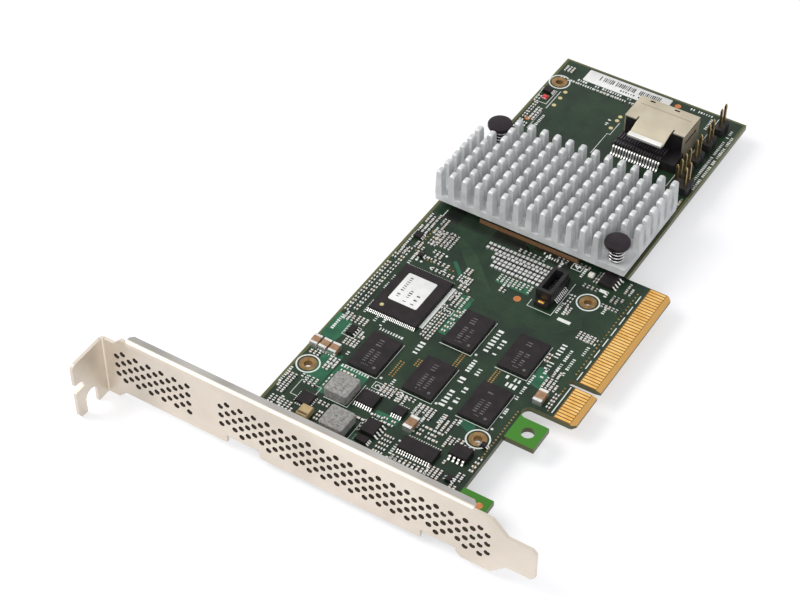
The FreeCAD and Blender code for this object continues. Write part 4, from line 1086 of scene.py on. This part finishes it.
thick = [[(46.0, 6.9), (55.8, 6.9)]]
thick += [[(x, 6.9), (x + 3.1, 6.9)] for x in (58.6, 63.0, 67.4, 71.8, 76.2, 80.6, 85.0, 89.4)]
broad = [[(53.5, 48.25), (69.9, 48.25)], [(74.5, 17.4), (74.5, 21.0)], [(89.0, 14.4), (89.0, 16.9)]]
first_pins = [dot(x, y, 0.36) for x, y in (
    (34.0, 47.5), (34.0, 31.9), (34.0, 16.4), (52.9, 31.9), (67.4, 47.2), (23.0, 43.1), (94.7, 13.2),
    (46.1, 50.5), (73.9, 62.0), (73.9, 60.6), (73.2, 57.2), (79.0, 56.0), (73.0, 48.6), (31.8, 37.9))]
strokes = [ink_lines(thin, 0.20), ink_lines(thick, 0.26), ink_lines(broad, 1.05)]
piece("screen_lines", strokes + first_pins, ink)
# Rows of marks, as (x, y, how many), with the seed of each list's first row.
near_rows = [
    (20.4, 67.9, 8), (14.2, 64.3, 4), (35.6, 58.9, 6), (42.0, 67.0, 8), (30.0, 44.3, 8), (29.6, 40.7, 5),
    (13.4, 32.9, 9), (23.6, 31.9, 11), (29.0, 28.2, 5), (30.8, 24.0, 4), (38.4, 16.4, 5),
    (45.4, 16.3, 13), (54.2, 14.6, 6)]
far_rows = [
    (58.2, 12.5, 12), (58.2, 10.6, 9), (66.6, 9.6, 5), (57.2, 41.9, 5), (61.8, 42.0, 5), (48.9, 59.4, 4),
    (49.0, 57.2, 4), (71.0, 47.2, 6), (76.2, 22.3, 11), (76.6, 20.6, 4), (82.0, 12.3, 4), (87.6, 14.6, 3),
    (90.8, 23.2, 5), (51.0, 63.2, 7), (60.8, 63.4, 8), (71.8, 63.2, 6), (73.8, 53.8, 4), (137.2, 62.4, 7),
    (136.0, 13.8, 34), (137.0, 15.1, 36), (131.0, 45.2, 3), (160.2, 21.9, 7), (147.4, 46.0, 4),
    (90.6, 29.6, 4)]
upright_rows = [
    (48.0, 50.3, 9), (32.6, 50.4, 7), (32.6, 56.2, 3), (159.2, 43.8, 30), (160.6, 45.2, 22),
    (92.6, 29.4, 7), (34.0, 60.3, 9), (71.3, 8.8, 6), (72.9, 8.8, 6), (165.9, 22.6, 9), (93.4, 33.6, 4),
    (31.2, 59.2, 3)]
print_rows = [marks(x, y, count, 0.74, 0.85, 0.42, 0.0, seed)
              for first, rows in ((100, near_rows), (114, far_rows))
              for seed, (x, y, count) in enumerate(rows, first)]
print_rows += [marks(x, y, count, 0.78, 0.95, 0.42, 0.0, seed, 1)
               for seed, (x, y, count) in enumerate(upright_rows, 200)]
piece("screen_marks", print_rows, ink)


def numeral(text, x, y, height):
    """A plain number as flat ink."""
    curve = bpy.data.curves.new("numeral", "FONT")
    curve.body = text
    curve.size = height * 1.35
    curve.extrude = 0.01
    held = bpy.data.objects.new("numeral", curve)
    scene.collection.objects.link(held)
    made = bpy.data.meshes.new_from_object(held.evaluated_get(bpy.context.evaluated_depsgraph_get()))
    bpy.data.objects.remove(held)
    return laid(made, x, y, board + 0.01)


piece("boxed_numbers", [numeral("2", 30.65, 45.5, 2.0), numeral("3", 61.3, 44.6, 2.0),
                        numeral("4", 92.6, 24.5, 2.0)], ink)
# Bolder rows, as (x, y, how many, step, tall, wide, seed, quarter turns).
bold_rows = [
    (34.4, 30.6, 9, 1.25, 1.7, 0.62, 401, 0), (34.4, 28.2, 7, 1.25, 1.3, 0.62, 402, 0),
    (47.2, 31.0, 5, 0.95, 1.2, 0.5, 403, 0), (47.2, 28.4, 5, 0.95, 1.2, 0.5, 408, 0),
    (54.2, 30.6, 8, 1.25, 1.7, 0.62, 404, 0), (54.2, 28.2, 6, 1.25, 1.3, 0.62, 409, 0),
    (48.4, 18.4, 5, 1.10, 1.7, 0.55, 405, 1), (50.6, 18.4, 4, 1.10, 1.4, 0.55, 406, 1),
    (58.0, 14.9, 9, 1.15, 1.6, 0.6, 407, 0), (45.6, 45.0, 4, 1.25, 1.5, 0.6, 410, 0)]
piece("bold_marks", [marks(*row[:6], 0.0, *row[6:]) for row in bold_rows], ink)

# Pours of copper under the varnish, which turn it a brighter blue-green where they have no
# tracks cut through them. Two near-black patches beside and under the heatsink are its painted shadow.
pour = finish("varnished_pour", (0.012, 0.085, 0.042), (0.022, 0.135, 0.066), 240.0, (0.26, 0.38),
              (2600.0, 0.2), specular=0.3)
painted_shadow_varnish = finish("painted_shadow_varnish", (0.006, 0.008, 0.006), (0.012, 0.015, 0.011), 300.0, (0.26, 0.4),
                      (2600.0, 0.2), specular=0.3)
pour_shapes = [
    [(37.4, 64.2), (39.0, 68.4), (47.6, 68.4), (47.6, 64.4), (44.0, 62.9)],
    [(22.2, 50.0), (22.2, 58.6), (33.0, 58.6), (33.0, 50.0)],
    [(24.0, 59.0), (24.0, 64.0), (33.0, 64.0), (35.6, 59.0)],
    [(77.6, 31.2), (77.6, 41.0), (80.4, 41.0), (81.4, 31.2)],
    [(54.6, 41.6), (54.6, 44.0), (64.0, 44.0), (69.4, 46.0), (69.4, 41.8)],
    [(29.6, 19.8), (31.4, 24.0), (33.0, 24.0), (33.0, 20.0)],
    [(22.4, 36.2), (22.4, 41.4), (24.8, 43.2), (24.8, 36.2)],
    [(51.0, 13.2), (51.6, 16.6), (58.4, 16.6), (56.0, 13.2)],
    [(13.4, 41.8), (13.4, 43.6), (15.8, 43.6), (15.8, 41.8)],
    [(73.2, 48.4), (78.2, 53.6), (79.0, 53.0), (74.0, 47.8)]]
painted_shadow_shapes = [
    [(90.8, 26.8), (90.8, 64.4), (94.5, 64.4), (94.5, 26.8)],
    [(94.6, 55.6), (94.6, 64.4), (123.4, 64.4), (123.4, 55.6)]]
# Painted shadow: two thin near-black sheets on the varnish where the heatsink's shade falls.
piece("heatsink_painted_shadow", [punched(shape, 0.003, corner=0.4, shift=(0, 0, board)) for shape in painted_shadow_shapes],
      painted_shadow_varnish)
piece("copper_pours", [punched(shape, 0.004, corner=0.5, shift=(0, 0, board)) for shape in pour_shapes],
      pour)

# Lands, vias and tracks: bare gold test lands, rows of small plated holes, and bundles of
# copper tracks that show as paler green under the varnish.
pale_gold = finish("pale_gold", (0.55, 0.47, 0.22), (0.72, 0.63, 0.34), 900.0, (0.25, 0.4), (2500.0, 0.2),
                   metallic=0.7)
copper = finish("bare_copper", (0.50, 0.17, 0.055), (0.66, 0.27, 0.10), 900.0, (0.3, 0.45), (2500.0, 0.2),
                metallic=0.7)
via_metal = finish("via_metal", (0.30, 0.17, 0.05), (0.46, 0.28, 0.10), 900.0, (0.3, 0.45), (2500.0, 0.2),
                   metallic=0.6)
tracks = finish("varnished_copper", (0.014, 0.036, 0.017), (0.024, 0.058, 0.026), 300.0, (0.26, 0.40),
                (2600.0, 0.2), specular=0.28)
test_lands = [dot(x, y, 0.62) for x, y in (
    (147.2, 62.2), (150.8, 62.2), (153.8, 62.2), (146.8, 44.1), (150.5, 44.1), (152.4, 44.1))]
piece("test_lands", test_lands + [dot(54.5, 60.3, 0.55, flash_height)], pale_gold)
copper_lands = [(75.2, 33.0, 1.0), (165.0, 32.6, 0.9), (12.2, 7.2, 0.95), (138.4, 65.6, 0.8)]
piece("copper_lands", [dot(*land) for land in copper_lands], copper)
tree, given = new_tree("plated_vias", {"Radius": 0.24, "Thickness": 0.02, "Sides": 8})
barrel = node(tree, "GeometryNodeMeshCylinder", {
    "Vertices": given["Sides"], "Radius": given["Radius"], "Depth": given["Thickness"]})
close_tree(tree, copies(tree, given["Geometry"], barrel.outputs["Mesh"]), via_metal)
via_places = [(x + i * step_x, y + j * step_y) for x, y, across, up, step_x, step_y in (
    (36.0, 46.4, 8, 2, 0.75, -0.9), (42.0, 42.9, 4, 2, 0.7, -0.8), (46.9, 34.9, 8, 2, 0.7, -0.8),
    (46.9, 24.9, 8, 2, 0.7, -0.8), (20.0, 13.9, 22, 1, 1.05, 1.0), (75.2, 51.8, 1, 10, 1.0, 1.1),
    (46.2, 8.0, 9, 1, 1.05, 1.0), (76.8, 64.0, 8, 1, 1.2, 1.0), (60.2, 7.9, 26, 1, 1.3, 1.0),
    (126.6, 16.2, 4, 3, 1.3, 1.3)) for i in range(across) for j in range(up)]
for name, level in (("vias_above", board + 0.005), ("vias_below", -0.005)):
    base = scaffold([(x, y, level) for x, y in via_places])
    piece(name, [grown(tree, base=base)], via_metal)


def bundles(*groups):
    """Tracks in groups. Each is a path, how many run side by side, and the step between them."""
    return [[(x + i * step_x, y + i * step_y) for x, y in path]
            for path, count, (step_x, step_y) in groups for i in range(count)]


upper_runs = bundles(
    ([(94.4, 50.2), (84.0, 50.2), (73.2, 39.4), (66.2, 39.4)], 16, (0.30, 0.62)),
    ([(94.4, 38.6), (91.6, 38.6), (90.9, 37.9), (90.9, 31.4)], 6, (0.42, 0.42)),
    ([(74.8, 14.4), (68.4, 20.8), (68.4, 38.4)], 8, (0.62, 0.25)),
    ([(59.2, 6.4), (59.2, 8.6), (60.6, 10.0)], 24, (1.45, 0.0)),
    ([(134.8, 59.6), (142.2, 59.6), (144.6, 57.2), (156.8, 57.2)], 8, (0.0, -0.62)),
    ([(134.8, 50.4), (146.4, 50.4), (148.4, 48.4), (157.4, 48.4)], 5, (0.0, -0.62)),
    ([(46.6, 30.8), (51.4, 30.8)], 7, (0.0, -0.55)),
    ([(38.0, 47.6), (45.8, 47.6), (49.4, 44.0)], 6, (0.0, -0.55)))
piece("tracks_above", [ink_lines(upper_runs, 0.20, board + 0.004)], tracks)

# The solder side: a cone of solder round every header post, lands under the connector, rows
# of small parts under the processor, and a few printed marks.
cones = [turned([(0.33, -1.15), (0.48, -0.75), (0.85, -0.22), (1.00, -0.02), (1.00, 0.0), (0.33, 0.0)],
                place, 16, ring=True) for place in post_places]
cones += [turned([(0, -0.55), (0.30, -0.48), (0.62, -0.20), (0.75, 0.0), (0, 0.0)], (x, y), 14)
          for x in (146.2, 149.4, 152.6) for y in (23.4, 37.4)]
piece("solder_cones", cones, tin)
below = [(100.4 + 2.0 * i, 33.2 + 2.1 * j, (i + j) % 2) for i in range(9) for j in range(8)]
below += [(36.4 + 1.8 * i, y, 1) for i in range(6) for y in (20.6, 36.4, 52.0)]
below += [(55.0 + 1.8 * i, y, 1) for i in range(6) for y in (20.6, 36.4, 56.0)]
below += [(60.0 + 1.45 * i, 9.6, 1) for i in range(22)] + [(16.0, 24.0 + 1.6 * i, 0) for i in range(18)]
below += [(140.0 + 1.6 * i, 29.0 + 2.0 * j, 0) for i in range(4) for j in range(4)]
end_capped("under_parts", below, (1.02, 0.56, 0.36, 0.30), chip_ceramic, level=0.0, seed=15)
lower_runs = bundles(
    ([(60.0, 8.0), (60.0, 14.0), (72.0, 26.0), (96.0, 26.0)], 18, (1.1, 0.55)),
    ([(66.0, 44.0), (88.0, 44.0), (98.0, 54.0)], 10, (0.0, 0.7)),
    ([(126.0, 30.0), (134.0, 30.0), (137.0, 33.0)], 8, (0.0, 0.7)),
    ([(20.0, 36.0), (30.0, 36.0), (36.0, 42.0), (50.0, 42.0)], 8, (0.0, 0.75)))
piece("tracks_below", [ink_lines(lower_runs, 0.20, -0.004)], tracks)
lower_rows = [(24.0, 60.0, 12), (60.0, 62.0, 9), (102.0, 52.6, 8), (130.0, 60.0, 14), (70.0, 16.0, 8),
              (40.0, 28.0, 7), (128.0, 24.0, 8)]
under_print = [marks(x, y, count, 0.74, 0.9, 0.42, -0.02 - board, seed)
               for seed, (x, y, count) in enumerate(lower_rows, 300)]
under_print.append(ink_lines([frame_of(98.6, 31.4, 119.2, 50.6)], 0.22, -0.01))
piece("marks_below", under_print, ink)
